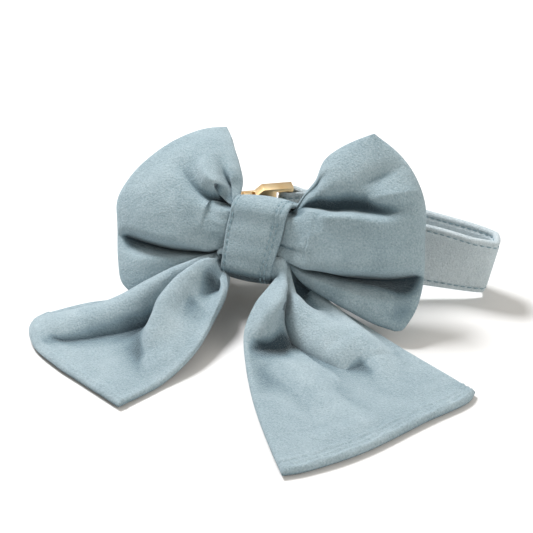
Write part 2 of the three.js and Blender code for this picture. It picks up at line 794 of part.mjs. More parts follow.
function collarBand() {
  const knotHalf = knotWidth / 2;
  const outs = [knotHalf + 1.2, knotHalf, 0, -knotHalf, -knotHalf - 1.2];
  const through = outs.map((out) => ({ place: inBow(out, bandAhead, -bandWidth / 2), up: upward }));
  const fromRow = (row) => ({
    place: new THREE.Vector3(row.across * collarReach, row.back * collarDepth, row.foot * bandWidth),
    lean: THREE.MathUtils.degToRad(row.lean),
  });
  const beside = (side, share) => ({ place: fromBar(side, -foldBack * share, 0, buckleFoot), lean: 0 });
  const first = [beside(1, 0.6), beside(1, 0.8), beside(1, 1)];
  const last = [beside(-1, 1), beside(-1, 0.8), beside(-1, 0.6)];
  const rows = [collarRows.map(fromRow), through, collarRowsLeft.map(fromRow)].flat();
  const stops = [...first, ...rows, ...last];
  const line = curveOf(stops.map((stop) => stop.place));
  const outwardAt = (t) => {
    const tangent = line.getTangent(t).setZ(0).normalize();
    return new THREE.Vector3(-tangent.y, tangent.x, 0);
  };
  const spans = stops.length - 1;
  const ups = stops.map((stop, k) => {
    if (stop.up) return stop.up;
    const up = new THREE.Vector3(0, 0, Math.cos(stop.lean));
    return up.addScaledVector(outwardAt(k / spans), Math.sin(stop.lean));
  });
  const half = bandThickness / 2;
  const outline = [
    [half - bandChamfer, 0],
    [half, bandChamfer],
    [half, bandWidth - bandChamfer],
    [half - bandChamfer, bandWidth],
    [-half + bandChamfer, bandWidth],
    [-half, bandWidth - bandChamfer],
    [-half, bandChamfer],
    [-half + bandChamfer, 0],
  ];
  const sections = [];
  for (let k = 0; k < spans; k += 1) {
    const length = stops[k].place.distanceTo(stops[k + 1].place);
    const steps = Math.max(1, Math.round(length / bandStep));
    for (let i = 0; i < steps + (k === spans - 1 ? 1 : 0); i += 1) {
      const t = (k + i / steps) / spans;
      const place = line.getPoint(t);
      const up = ups[k].clone().lerp(ups[k + 1], i / steps).normalize();
      const across = up.clone().cross(line.getTangent(t)).normalize();
      sections.push(
        outline.map(([side, high]) =>
          place.clone().addScaledVector(across, side).addScaledVector(up, high),
        ),
      );
    }
  }
  const { vertices, faces } = skin(sections, false);
  const strip = solidFrom(meshOf("strip", vertices, faces, null).geometry);
  const joined = strip.add(bandFold(1)).add(bandFold(-1));
  return placed("collar_band", joined, new THREE.Matrix4(), velvetOf(0.97));
}

const collar = collarBand();

// Buckle: a socket and a plug, closed, each with a bar that the band is folded round

const slotHalf = bandWidth / 2 + clearance;
const fullHalf = buckleHeight / 2;
const lowHalf = fullHalf - shoulderDrop;
const pocketHalf = tongueWidth / 2 + armGap + armWidth + clearance;

function barWindow(from, toward) {
  const a = from + toward * buckleBar;
  const b = a + toward * buckleSlot;
  return [[a, -slotHalf], [b, -slotHalf], [b, slotHalf], [a, slotHalf]];
}

// Thins the bar, and leaves the rails above and below it at their full thickness
function thinBar(solid, from, toward) {
  const a = from - toward * 1;
  const b = from + toward * (buckleBar + 0.5);
  const [low, high] = [Math.min(a, b), Math.max(a, b)];
  const outside = buckleThickness;
  const barHalf = buckleBar / 2;
  return solid
    .subtract(boxSolid(low, high, -slotHalf, slotHalf, barHalf, outside))
    .subtract(boxSolid(low, high, -slotHalf, slotHalf, -outside, -barHalf));
}

function socket() {
  const wideEnd = socketLength - pocketDepth + pocketWall;
  const narrow = wideEnd + shoulderLength;
  const outline = [
    [0, -fullHalf], [wideEnd, -fullHalf], [narrow, -lowHalf], [socketLength, -lowHalf],
    [socketLength, lowHalf], [narrow, lowHalf], [wideEnd, fullHalf], [0, fullHalf],
  ];
  const body = thinBar(plate(outline, [barWindow(0, 1)], buckleThickness, buckleBevel), 0, 1);
  const gap = insertThickness / 2 + clearance;
  const start = socketLength - pocketDepth;
  const pocket = boxSolid(start, socketLength + 1, -pocketHalf, pocketHalf, -gap, gap);
  const windowEnd = narrow + earLength + 2 * clearance;
  const sides = boxSolid(narrow, windowEnd, -buckleHeight, buckleHeight, -gap, gap);
  return body.subtract(pocket).subtract(sides);
}

function plug() {
  const start = socketLength + clearance;
  const end = start + plugLength;
  const wide = end - buckleBar - buckleSlot - buckleRail;
  const outline = [
    [start, -lowHalf], [wide - shoulderLength, -lowHalf], [wide, -fullHalf], [end, -fullHalf],
    [end, fullHalf], [wide, fullHalf], [wide - shoulderLength, lowHalf], [start, lowHalf],
  ];
  const body = thinBar(plate(outline, [barWindow(end, -1)], buckleThickness, buckleBevel), end, -1);
  const tip = socketLength - pocketDepth + clearance;
  const tongue = tongueWidth / 2;
  const armIn = tongue + armGap;
  const armOut = armIn + armWidth;
  const ear = lowHalf;
  const earStart = socketLength - pocketDepth + pocketWall + shoulderLength + clearance;
  const earEnd = earStart + earLength;
  const root = start + insertCut;
  const half = [
    [root, armOut], [earEnd, armOut], [earEnd, ear], [earStart + insertCut, ear],
    [earStart, armOut], [tip + insertCut, armOut], [tip + insertCut, armIn],
    [start - insertRoot, armIn], [start - insertRoot, tongue], [tip, tongue],
  ];
  const outlineInsert = [...half, ...half.map(([x, y]) => [x, -y]).reverse()];
  const insert = plate(outlineInsert, [], insertThickness, 0);
  return body.add(insert);
}

const buckleSocket = placed("buckle_socket", socket(), buckleFrame, gold());
const bucklePlug = placed("buckle_plug", plug(), buckleFrame, gold());

yieldTo(loopLeft, [knot, collar]);
yieldTo(loopRight, [knot, collar]);
yieldTo(tailLeft, [knot, collar, loopLeft, loopRight]);
yieldTo(tailRight, [knot, collar, loopLeft, loopRight]);

const collarWithBow = new THREE.Group();
collarWithBow.add(collar, buckleSocket, bucklePlug, knot, loopLeft, loopRight, tailLeft, tailRight);

// The origin is the middle of the bottom of the box round everything.
const box = new THREE.Box3().setFromObject(collarWithBow);
const middle = box.getCenter(new THREE.Vector3());
collarWithBow.position.set(-middle.x, -middle.y, -box.min.z);

const part = new THREE.Group();
part.add(collarWithBow);

export default part;
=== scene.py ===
# A pet collar of padded velvet, closed in a loop by a gold side-release buckle at its back,
# with a sailor bow of two loops and two long tails held on its front by a knot band.
from math import cos, pi, radians, sin, sqrt, tau

import bmesh
import bpy
import numpy as np
from mathutils import Matrix, Vector


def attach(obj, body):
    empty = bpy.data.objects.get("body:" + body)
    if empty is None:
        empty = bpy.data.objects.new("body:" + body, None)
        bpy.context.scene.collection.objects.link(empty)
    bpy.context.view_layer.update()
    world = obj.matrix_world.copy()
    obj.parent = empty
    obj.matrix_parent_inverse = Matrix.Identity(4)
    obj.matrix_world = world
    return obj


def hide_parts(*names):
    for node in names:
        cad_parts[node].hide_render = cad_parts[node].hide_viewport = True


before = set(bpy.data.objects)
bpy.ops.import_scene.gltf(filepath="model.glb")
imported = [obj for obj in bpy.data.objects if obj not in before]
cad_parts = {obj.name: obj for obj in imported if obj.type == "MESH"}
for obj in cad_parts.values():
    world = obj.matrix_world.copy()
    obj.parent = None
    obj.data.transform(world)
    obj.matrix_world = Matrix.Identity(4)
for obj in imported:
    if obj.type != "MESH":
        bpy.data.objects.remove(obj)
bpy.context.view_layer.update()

mm = 0.001
# How far the cloth map of a piece's far face is moved from that of its near face
otherFace = (0, 200)

# Sizes below are in millimetres, in the bow's own frame: out to the right, ahead to the viewer, high up.
# The bow leans back, and stands at this place in the frame.
bow = {
    "place": (-12.37, 24.6, 27.2),
    "lean": radians(25),
    "waistDepth": 11.3,
    "waistAhead": 1.25,
    "waistTop": 12.5,
    "waistFoot": -7.2,
    "neckMiddle": -10.7,
    "waistOuts": (0.15, 10.5, 12.1),
}
origin = np.array(bow["place"])
forward = np.array([0, -cos(bow["lean"]), sin(bow["lean"])])
upward = np.array([0, sin(bow["lean"]), cos(bow["lean"])])


def inBow(points, side=1):
    # From (out, ahead, high) to the frame, in millimetres
    points = np.asarray(points, float)
    placed = origin + points[..., 1:2] * forward + points[..., 2:3] * upward
    placed[..., 0] += side * points[..., 0]
    return placed


def smooth(share):
    share = np.clip(share, 0, 1)
    return share * share * (3 - 2 * share)


def runAlong(line):
    # The distance along a line of points, from 0 at its first
    return np.concatenate([[0], np.cumsum(np.linalg.norm(np.diff(line, axis=0), axis=1))])


def unit(vectors):
    return vectors / np.maximum(np.linalg.norm(vectors, axis=-1, keepdims=True), 1e-9)


def curveThrough(points, steps=60):
    # A smooth curve through the points, read by shares of its length
    p = np.array(points, float)
    p = np.vstack([2 * p[0] - p[1], p, 2 * p[-1] - p[-2]])
    gaps = np.linalg.norm(np.diff(p, axis=0), axis=1)
    k = np.concatenate([[0], np.cumsum(np.sqrt(gaps))])
    parts = []
    for i in range(1, len(p) - 2):
        t0, t1, t2, t3 = k[i - 1:i + 3]
        last = i == len(p) - 3
        t = np.linspace(t1, t2, steps + last, endpoint=last)[:, None]
        a = ((t1 - t) * p[i - 1] + (t - t0) * p[i]) / (t1 - t0)
        b = ((t2 - t) * p[i] + (t - t1) * p[i + 1]) / (t2 - t1)
        c = ((t3 - t) * p[i + 1] + (t - t2) * p[i + 2]) / (t3 - t2)
        d = ((t2 - t) * a + (t - t0) * b) / (t2 - t0)
        e = ((t3 - t) * b + (t - t1) * c) / (t3 - t1)
        parts.append(((t2 - t) * d + (t - t1) * e) / (t2 - t1))
    line = np.vstack(parts)
    run = runAlong(line)
    run /= run[-1]
    return lambda at: np.stack([np.interp(at, run, line[:, n]) for n in range(line.shape[1])], -1)


def spanned(lower, upper, outer, along, rise):
    # A sheet from its lower to its upper edge, drawn out to its outer edge
    low = lower(along)[:, None]
    high = upper(along)[:, None]
    u = along[:, None, None]
    v = rise[None, :, None]
    corners = outer(np.array([0.0, 1.0]))
    bulge = outer(rise)[None] - corners[0] * (1 - v) - corners[1] * v
    return low * (1 - v) + high * v + u * u * bulge


def normalsOf(grid):
    return unit(np.cross(np.gradient(grid, axis=0), np.gradient(grid, axis=1)))


def lookUp(rows, at):
    line = curveThrough(rows)(np.linspace(0, 1, 300))
    return np.stack([np.interp(at, line[:, 0], line[:, n]) for n in range(1, line.shape[1])], -1)


def fold(line, above, below, **more):
    # A ridge or crease along a line, and its spread above and below it
    return {"line": line, "above": above, "below": below, **more}


def foldSum(folds, along, rise):
    # Height of all the folds, and how far each tucks the cloth over its own crease.
    # A fold's line holds (along, rise, height) rows, or (rise, along, height) rows where it runs across,
    # and it fades out before its first and after its last row.
    height = np.zeros((len(along), len(rise)))
    shift = np.zeros_like(height)
    for fold in folds:
        across = fold.get("across", False)
        run, aside = (rise[None], along[:, None]) if across else (along[:, None], rise[None])
        line = curveThrough(fold["line"])(np.linspace(0, 1, 200))
        start, end = line[0, 0], line[-1, 0]
        centre = np.interp(run, line[:, 0], line[:, 1])
        tall = np.interp(run, line[:, 0], line[:, 2])
        ease = fold.get("ease", 0.06)
        reach = 1.0
        if start > 0.02:
            reach = smooth((run - start + ease) / ease)
        if end < 0.98:
            reach = reach * smooth((end + ease - run) / ease) ** fold.get("bulge", 1)
        away = aside - centre
        spread = np.where(away > 0, fold["above"], fold["below"])
        form = np.exp(-np.abs(away / spread) ** fold.get("power", 1.6))
        height += tall * form * reach
        if "tuck" in fold:
            near = away / fold["tuckOver"]
            pull = np.where(near > 0, near * np.exp((1 - near * near) / 2), 0)
            shift -= fold["tuck"] * pull * reach
    return height, shift


def ripple(shape, rows, seed):
    # Soft unevenness of hand-sewn cloth: a few slanted waves with fixed phases
    chance = np.random.default_rng(seed)
    u = np.linspace(0, 1, shape[0])[:, None]
    v = np.linspace(0, 1, shape[1])[None]
    total = np.zeros(shape)
    for waves, size in rows:
        for _ in range(3):
            slant = chance.uniform(-1, 1) * waves
            phase = chance.uniform(0, tau)
            total += size * np.sin(tau * (waves * v * chance.uniform(0.7, 1.3) + slant * u * 0.6) + phase) / 3
    return total


def clothUvs(along, across):
    # Flat places on the cloth in millimetres, for a grid's rows and columns
    return np.stack(np.broadcast_arrays(along[:, None], across[None]), -1).reshape(-1, 2)


def blurred(grid, cells):
    # The grid's places averaged over about so many cells each way, edges held
    reach = int(cells * 2.5)
    kernel = np.exp(-0.5 * (np.arange(-reach, reach + 1) / cells) ** 2)
    kernel /= kernel.sum()
    for axis in (0, 1):
        pads = [(reach, reach) if n == axis else (0, 0) for n in range(3)]
        wide = np.pad(grid, pads, mode="reflect", reflect_type="odd")
        grid = sum(k * np.take(wide, range(n, n + grid.shape[axis]), axis) for n, k in enumerate(kernel))
    return grid


def creaseDepth(grid, outward, cells):
    # From -1 at the bottom of a crease to 1 on the crest of a fold, 0 where the cloth is flat; the velvet
    # turns it into painted shade in the creases and painted light on the crests
    depth = np.zeros(grid.shape[:2])
    for size, reach in cells:
        depth += np.sum((grid - blurred(grid, size)) * outward, axis=-1) / reach
    return np.tanh(depth)


def paintedShadePatches(along, rise, patches):
    # Soft patches of painted shade, set to match the photo, painted light where an amount is above nought:
    # (along, rise, run, spread, amount)
    total = np.zeros((len(along), len(rise)))
    for at, high, run, spread, amount in patches:
        total += amount * np.exp(-((along[:, None] - at) / run) ** 2 - ((rise[None] - high) / spread) ** 2)
    return total


def linked(name, data):
    thing = bpy.data.objects.new(name, data)
    bpy.context.scene.collection.objects.link(thing)
    return thing


def meshPiece(name, points, faces, uvs=None, crease=None):
    mesh = bpy.data.meshes.new(name)
    mesh.from_pydata([tuple(p) for p in np.asarray(points) * mm], [], [tuple(f) for f in faces])
    if uvs is not None:
        layer = mesh.uv_layers.new(name="cloth")
        corners = np.zeros(len(mesh.loops), np.int64)
        mesh.loops.foreach_get("vertex_index", corners)
        layer.data.foreach_set("uv", (np.asarray(uvs, float)[corners] * mm).ravel())
    # Painted shade and light for each point, kept as an attribute that the velvet reads
    if crease is not None:
        layer = mesh.attributes.new("crease", "FLOAT", "POINT")
        layer.data.foreach_set("value", np.asarray(crease, float).ravel())
    mesh.validate()
    mesh.polygons.foreach_set("use_smooth", [True] * len(mesh.polygons))
    return linked(name, mesh)


def gridFaces(rows, columns, start=0, wrapRows=False, wrapColumns=False, turned=False):
    i = np.arange(rows if wrapRows else rows - 1)[:, None]
    j = np.arange(columns if wrapColumns else columns - 1)[None]
    ni = (i + 1) % rows
    nj = (j + 1) % columns
    corners = [i * columns + j, ni * columns + j, ni * columns + nj, i * columns + nj]
    quads = np.stack([np.broadcast_to(c, (i.size, j.size)) for c in corners], -1).reshape(-1, 4) + start
    return quads[:, ::-1] if turned else quads


def closed(piece, reach=0.005):
    # Welds points nearer than the reach in millimetres, and turns every face outward
    shape = bmesh.new()
    shape.from_mesh(piece.data)
    bmesh.ops.remove_doubles(shape, verts=shape.verts, dist=reach * mm)
    bmesh.ops.dissolve_degenerate(shape, edges=shape.edges, dist=reach * mm * 0.5)
    bmesh.ops.recalc_face_normals(shape, faces=shape.faces)
    if shape.calc_volume(signed=True) < 0:
        bmesh.ops.reverse_faces(shape, faces=shape.faces)
    shape.to_mesh(piece.data)
    openEdges = sum(1 for edge in shape.edges if not edge.is_manifold)
    shape.free()
    print(piece.name, len(piece.data.vertices), "vertices, open or shared edges:", openEdges)
    return piece


def paintFacingShade(piece, share, level):
    # Painted shade on faces turned down and painted light on faces turned up, by the height of each point's
    # normal, added into the piece's shade attribute
    mesh = piece.data
    layer = mesh.attributes.get("crease") or mesh.attributes.new("crease", "FLOAT", "POINT")
    values = np.zeros(len(mesh.vertices))
    layer.data.foreach_get("value", values)
    mesh.update()
    facing = np.zeros(3 * len(values))
    mesh.vertices.foreach_get("normal", facing)
    values += share * np.minimum(facing[2::3] - level, 0.25)
    layer.data.foreach_set("value", values)


def finishPiece(piece, material, slotName, *nodes):
    piece.data.materials.clear()
    piece.data.materials.append(material)
    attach(piece, "root")
    if nodes:
        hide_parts(*nodes)
    return piece


# Materials

def linear(hexColour):
    parts = [int(hexColour[n:n + 2], 16) / 255 for n in (1, 3, 5)]
    return (*[c / 12.92 if c <= 0.04045 else ((c + 0.055) / 1.055) ** 2.4 for c in parts], 1)


def addNode(tree, kind, settings=None, **inputs):
    node = tree.nodes.new(kind)
    for name, value in (settings or {}).items():
        setattr(node, name, value)
    for name, value in inputs.items():
        key = int(name[1:]) if name[1:].isdigit() else name.replace("_", " ")
        if isinstance(value, bpy.types.NodeSocket):
            tree.links.new(value, node.inputs[key])
        else:
            node.inputs[key].default_value = value
    return node


def noise(tree, place, size, **inputs):
    # Noise whose grains are about this size in millimetres
    return addNode(tree, "ShaderNodeTexNoise", Vector=place, Scale=1 / (size * mm), **inputs).outputs["Fac"]


def weighted(tree, value, weight, plus):
    node = addNode(tree, "ShaderNodeMath", {"operation": "MULTIPLY_ADD"}, _0=value, _1=weight, _2=plus)
    return node.outputs[0]


def newMaterial(name):
    material = bpy.data.materials.new(name)
    material.use_nodes = True
    tree = material.node_tree
    tree.nodes.clear()
    output = tree.nodes.new("ShaderNodeOutputMaterial")
    shader = tree.nodes.new("ShaderNodeBsdfPrincipled")
    tree.links.new(shader.outputs["BSDF"], output.inputs["Surface"])
    return material, tree, shader


def ramp(tree, factor, stops):
    node = addNode(tree, "ShaderNodeValToRGB", Fac=factor)
    row = node.color_ramp.elements
    while len(row) < len(stops):
        row.new(0.5)
    for element, (place, colour) in zip(row, stops):
        element.position = place
        element.color = linear(colour) if isinstance(colour, str) else (colour, colour, colour, 1)
    return node.outputs["Color"]


# Grains and depths in millimetres, and how much each pattern weighs in the colour
velvet = {
    "pileGrain": 0.7,
    "brushed": 4.5,
    "patches": 17,
    "weights": {"grain": 0.75, "patches": 0.3, "brushed": 0.12, "all": 0.015},
    "pileDepth": 0.75,
    "brushDepth": 0.5,
}


# Cut pile velvet of polyester, woven and brushed: light catches the tips of the pile at grazing angles,
# and where the pile leans another way the cloth looks paler or darker.
def velvetMaterial(name, deep, base, light):
    material, tree, shader = newMaterial(name)
    place = addNode(tree, "ShaderNodeTexCoord").outputs["Object"]
    patches = noise(tree, place, velvet["patches"], Detail=2.0, Roughness=0.5, Distortion=0.6)
    brushed = noise(tree, place, velvet["brushed"], Detail=3.0, Roughness=0.6, Distortion=0.3)
    # The pile's own grain is under 0.3 mm, and is drawn coarser so that it shows
    grain = noise(tree, place, velvet["pileGrain"], Detail=4.0, Roughness=0.7)
    weights = velvet["weights"]
    mixed = weighted(tree, brushed, weights["brushed"], weights["all"])
    mixed = weighted(tree, patches, weights["patches"], mixed)
    mixed = weighted(tree, grain, weights["grain"], mixed)
    colour = ramp(tree, mixed, [(0.44, deep), (0.6, base), (0.76, light)])
    # Painted shade: the piece's attribute darkens the creases, the faces turned down and the painted patches,
    # and makes the crests and the faces turned up paler
    crease = addNode(tree, "ShaderNodeAttribute", {"attribute_name": "crease"}).outputs["Fac"]
    shade = ramp(
        tree, weighted(tree, crease, 0.5, 0.5),
        [(0.05, "#4f5d65"), (0.3, "#b9c4c9"), (0.5, "#f2f4f5"), (0.85, "#ffffff")],
    )
    colour = addNode(
        tree, "ShaderNodeMix", {"data_type": "RGBA", "blend_type": "MULTIPLY"}, _0=1.0, _6=colour, _7=shade,
    ).outputs[2]
    tree.links.new(colour, shader.inputs["Base Color"])
    relief = addNode(
        tree, "ShaderNodeBump", {}, Strength=1.0, Distance=velvet["brushDepth"] * mm, Height=brushed,
    ).outputs["Normal"]
    relief = addNode(
        tree, "ShaderNodeBump", {},
        Strength=1.0, Distance=velvet["pileDepth"] * mm, Height=grain, Normal=relief,
    ).outputs["Normal"]
    tree.links.new(relief, shader.inputs["Normal"])
    shader.inputs["Roughness"].default_value = 0.95
    shader.inputs["Specular IOR Level"].default_value = 0.15
    shader.inputs["Sheen Weight"].default_value = 0.55
    shader.inputs["Sheen Roughness"].default_value = 0.45
    shader.inputs["Sheen Tint"].default_value = linear("#dcebf2")
    return material


bowVelvet = velvetMaterial("cut_pile_velvet_bow", "#81969f", "#98acb4", "#afc0c6")
tailVelvet = velvetMaterial("cut_pile_velvet_tail", "#889ca5", "#9eb1b9", "#b4c4ca")
# Painted light: the band's velvet is set paler than the bow's to stand for the brighter light falling on the
# band
bandVelvetPaintedLight = velvetMaterial("cut_pile_velvet_band_painted_light", "#b4c1c7", "#c8d3d7", "#d8e1e4")


# Twisted polyester sewing thread, dyed to match: a fine, slightly shiny line sunk in the pile
def threadMaterial():
    material, tree, shader = newMaterial("polyester_thread")
    place = addNode(tree, "ShaderNodeTexCoord").outputs["Object"]
    grain = noise(tree, place, 0.4, Detail=2.0)
    colour = ramp(tree, grain, [(0.3, "#64808b"), (0.7, "#8ba6b0")])
    tree.links.new(colour, shader.inputs["Base Color"])
    shader.inputs["Roughness"].default_value = 0.6
    shader.inputs["Sheen Weight"].default_value = 0.2
    return material


# Zinc alloy, die cast, polished and plated light gold: clean warm reflections with soft wear and cast waves
def goldMaterial():
    material, tree, shader = newMaterial("plated_zinc_light_gold")
    place = addNode(tree, "ShaderNodeTexCoord").outputs["Object"]
    waves = noise(tree, place, 6, Detail=2.0)
    scuffs = noise(tree, place, 0.5, Detail=3.0)
    colour = ramp(tree, waves, [(0.35, "#e8c794"), (0.65, "#f3dcb2")])
    tree.links.new(colour, shader.inputs["Base Color"])
    dull = ramp(tree, scuffs, [(0.3, 0.3), (0.75, 0.44)])
    tree.links.new(dull, shader.inputs["Roughness"])
    relief = addNode(tree, "ShaderNodeBump", {}, Strength=0.5, Distance=0.05 * mm, Height=waves)
    tree.links.new(relief.outputs["Normal"], shader.inputs["Normal"])
    shader.inputs["Metallic"].default_value = 1
    return material


thread = threadMaterial()
gold = goldMaterial()
print("materials made")


# Bow loops: padded pockets of velvet, sewn round the outer edge and gathered at the waist inside the knot

# The unseen backs of both loops have the same two plain folds
loopBackFolds = [
    fold([(0.17, 0.3, -0.3), (0.5, 0.33, -0.35), (0.9, 0.36, -0.1)], 0.08, 0.1),
    fold([(0.17, 0.7, -0.25), (0.5, 0.66, -0.3), (0.85, 0.7, -0.05)], 0.1, 0.08),
]

rightLoop = {
    "reach": 66,
    "rise": 47,
    "sweep": 10,
    "puff": 12,
    "fill": 0.45,
    "upper": [
        (0.22, -0.2, 0.42), (0.26, -0.5, 0.55), (0.29, -0.6, 0.72),
        (0.35, -0.7, 0.82), (0.44, -0.7, 0.91), (0.56, -0.6, 1.0),
    ],
    "lower": [
        (0.3, 0, -0.3), (0.44, 0.1, -0.375), (0.6, 0.2, -0.44), (0.78, 0.2, -0.51), (0.91, 0.25, -0.53),
    ],
    "outer": [
        (0.95, 0.22, -0.51), (0.98, 0.1, -0.43), (1.0, -0.2, -0.31), (1.0, -0.5, -0.1), (0.96, -0.8, 0.2),
        (0.92, -0.9, 0.5), (0.83, -0.9, 0.72), (0.72, -0.8, 0.87),
    ],
    "front": [(0, 0.45), (0.15, 0.47), (0.3, 0.86), (0.55, 1.0), (0.8, 0.9), (1.0, 0.7)],
    "back": [(0, 0.47), (0.17, 0.47), (0.32, 0.3), (0.55, 0.5), (0.8, 0.6), (1.0, 0.5)],
    # Each fold's line is rows of (along, rise, height), height as a share of the puff
    "folds": [
        # The deep crease under the middle roll, and the one above it
        fold([
            (0.17, 0.13, -0.6), (0.3, 0.17, -0.85), (0.42, 0.2, -0.95), (0.62, 0.215, -1.1),
            (0.8, 0.25, -1.1), (0.93, 0.28, -0.9), (1, 0.285, -0.6),
        ], 0.035, 0.085, tuck=3.4, tuckOver=0.06),
        fold([
            (0.17, 0.95, -0.5), (0.25, 0.93, -0.6), (0.4, 0.78, -0.75), (0.55, 0.655, -0.75),
            (0.68, 0.605, -0.65), (0.81, 0.575, -0.4), (0.92, 0.59, -0.1),
        ], 0.13, 0.025),
        fold([(0.4, 0.66, 0), (0.55, 0.6, 0.12), (0.7, 0.55, 0.1), (0.85, 0.53, 0)], 0.04, 0.06),
        # A light wedge toward the outer edge, and the small gathers beside the knot
        fold([(0.74, 0.64, 0), (0.86, 0.66, 0.22), (0.98, 0.67, 0.2)], 0.035, 0.05),
        fold([(0.7, 0.72, 0), (0.85, 0.76, -0.22), (0.97, 0.8, -0.2)], 0.07, 0.04),
        fold([(0.2, 0.985, -0.5), (0.34, 0.975, -0.5), (0.48, 0.94, -0.35), (0.62, 0.89, 0)], 0.03, 0.035),
        fold([(0.1, 0.3, -0.06), (0.25, 0.31, -0.05), (0.42, 0.33, 0)], 0.03, 0.04),
        # The lower roll lies back behind the middle one
        fold([(0.1, 0.04, -0.2), (0.4, 0.06, -0.35), (0.7, 0.08, -0.35), (1, 0.08, -0.3)], 0.16, 0.1),
        fold([(0.22, 0.1, 0.1), (0.45, 0.1, 0.2), (0.7, 0.1, 0.15), (0.9, 0.11, 0)], 0.035, 0.05),
    ],
    "backFolds": loopBackFolds,
    # Patches of painted shade on the front: (along, rise, run, spread, amount)
    "shadePatches": [
        (0.96, 0.1, 0.09, 0.08, -0.9), (0.74, 0.24, 0.12, 0.035, -0.7), (0.92, 0.22, 0.08, 0.045, -0.8),
    ],
    "seed": 4,
}

leftLoop = {
    "reach": 63,
    "rise": 40,
    "sweep": 25,
    "puff": 12,
    "fill": 0.4,
    "upper": [
        (0.21, -0.26, 0.5), (0.29, -0.52, 0.67), (0.36, -0.72, 0.78), (0.43, -0.92, 0.9), (0.49, -1.0, 1.0),
    ],
    "lower": [
        (0.29, 0.06, -0.36), (0.43, 0.18, -0.52), (0.59, 0.3, -0.66), (0.73, 0.4, -0.77),
    ],
    "outer": [
        (0.83, 0.32, -0.68), (0.9, 0.2, -0.47), (0.97, 0.04, -0.13), (1.0, 0, 0.1),
        (0.96, -0.08, 0.32), (0.89, -0.22, 0.52), (0.77, -0.46, 0.75), (0.62, -0.8, 0.93),
    ],
    "front": [(0, 0.45), (0.15, 0.47), (0.3, 0.8), (0.55, 0.95), (0.8, 0.95), (1.0, 0.75)],
    "back": [(0, 0.47), (0.17, 0.47), (0.32, 0.28), (0.55, 0.42), (0.8, 0.6), (1.0, 0.5)],
    "folds": [
        fold([
            (0.17, 0.08, -0.6), (0.35, 0.15, -0.9), (0.5, 0.2, -1.05), (0.7, 0.235, -1.15),
            (0.88, 0.265, -1), (0.97, 0.27, -0.5),
        ], 0.035, 0.075, tuck=3.2, tuckOver=0.06, ease=0.1),
        fold([
            (0.17, 0.9, -0.5), (0.3, 0.77, -0.7), (0.42, 0.65, -0.5), (0.52, 0.61, -0.32),
            (0.65, 0.635, -0.2), (0.78, 0.67, -0.12), (0.9, 0.7, 0),
        ], 0.075, 0.04),
        # Ridge and dent in the upper part, and small gathers beside the knot
        fold([
            (0.24, 0.88, 0.1), (0.4, 0.77, 0.35), (0.52, 0.73, 0.35), (0.62, 0.74, 0.2), (0.72, 0.77, 0),
        ], 0.05, 0.045),
        fold([
            (0.2, 0.97, -0.4), (0.3, 0.92, -0.75), (0.4, 0.86, -0.7), (0.5, 0.84, -0.45),
            (0.6, 0.86, -0.15), (0.68, 0.88, 0),
        ], 0.05, 0.045),
        # The lower roll lies back behind the middle one
        fold([(0.1, 0.04, -0.2), (0.4, 0.06, -0.3), (0.7, 0.08, -0.3), (1, 0.08, -0.25)], 0.16, 0.1),
        fold([(0.3, 0.1, 0.1), (0.55, 0.14, 0.2), (0.8, 0.16, 0.15), (0.97, 0.19, 0)], 0.04, 0.05),
    ],
    "backFolds": loopBackFolds,
    # Patches of painted shade on the front: (along, rise, run, spread, amount)
    "shadePatches": [
        (0.8, 0.05, 0.14, 0.08, -0.5), (0.97, 0.05, 0.08, 0.08, -0.35), (0.71, 0.7, 0.05, 0.045, -0.3),
        (0.4, 0.73, 0.06, 0.05, -0.35),
    ],
    "seed": 9,
}

loopGrid = (150, 190)
loopCrease = ((5, 1.6), (12, 4.5), (24, 10.0))


def loopCurves(loop):
    sizes = (loop["reach"], loop["sweep"], loop["rise"])
    place = lambda rows: [tuple(np.multiply(row, sizes)) for row in rows]
    waist = lambda high: [(out, bow["waistAhead"], high) for out in bow["waistOuts"]]
    lower = waist(bow["waistFoot"]) + place(loop["lower"])
    upper = waist(bow["waistTop"]) + place(loop["upper"])
    outer = [lower[-1], *place(loop["outer"]), upper[-1]]
    return curveThrough(lower), curveThrough(upper), curveThrough(outer)


def cosineShares(count, mix=0.5):
    even = np.linspace(0, 1, count)
    return (1 - mix) * even + mix * (1 - np.cos(pi * even)) / 2


def loopSurface(loop, side):
    along = cosineShares(loopGrid[0])
    rise = cosineShares(loopGrid[1])
    middle = spanned(*loopCurves(loop), along, rise)
    normal = -normalsOf(middle)
    upwards = unit(np.gradient(middle, axis=1))
    fullness = 4 - 2 * smooth((along - 0.1) / 0.35)[:, None]
    rounded = np.sqrt(np.maximum(0, 1 - np.abs(2 * rise[None] - 1) ** fullness))
    seam = np.sqrt(np.maximum(0, 1 - along ** 8))[:, None]
    shape = rounded * seam * loop["puff"]
    faces = []
    for key, folds, sign in (("front", loop["folds"], 1), ("back", loop["backFolds"], -1)):
        height, shift = foldSum(folds, along, rise)
        inKnot = smooth((along - 0.06) / 0.1)[:, None]
        stand = lookUp(loop[key], along) + height * inKnot
        stand = stand + ripple(stand.shape, [(3, 0.012), (7, 0.008)], loop["seed"] + sign) * inKnot
        place = middle + normal * (sign * stand * shape)[..., None]
        place = place + upwards * (shift * rounded * seam * inKnot)[..., None]
        faces.append(inBow(place, side))
    return along, rise, faces


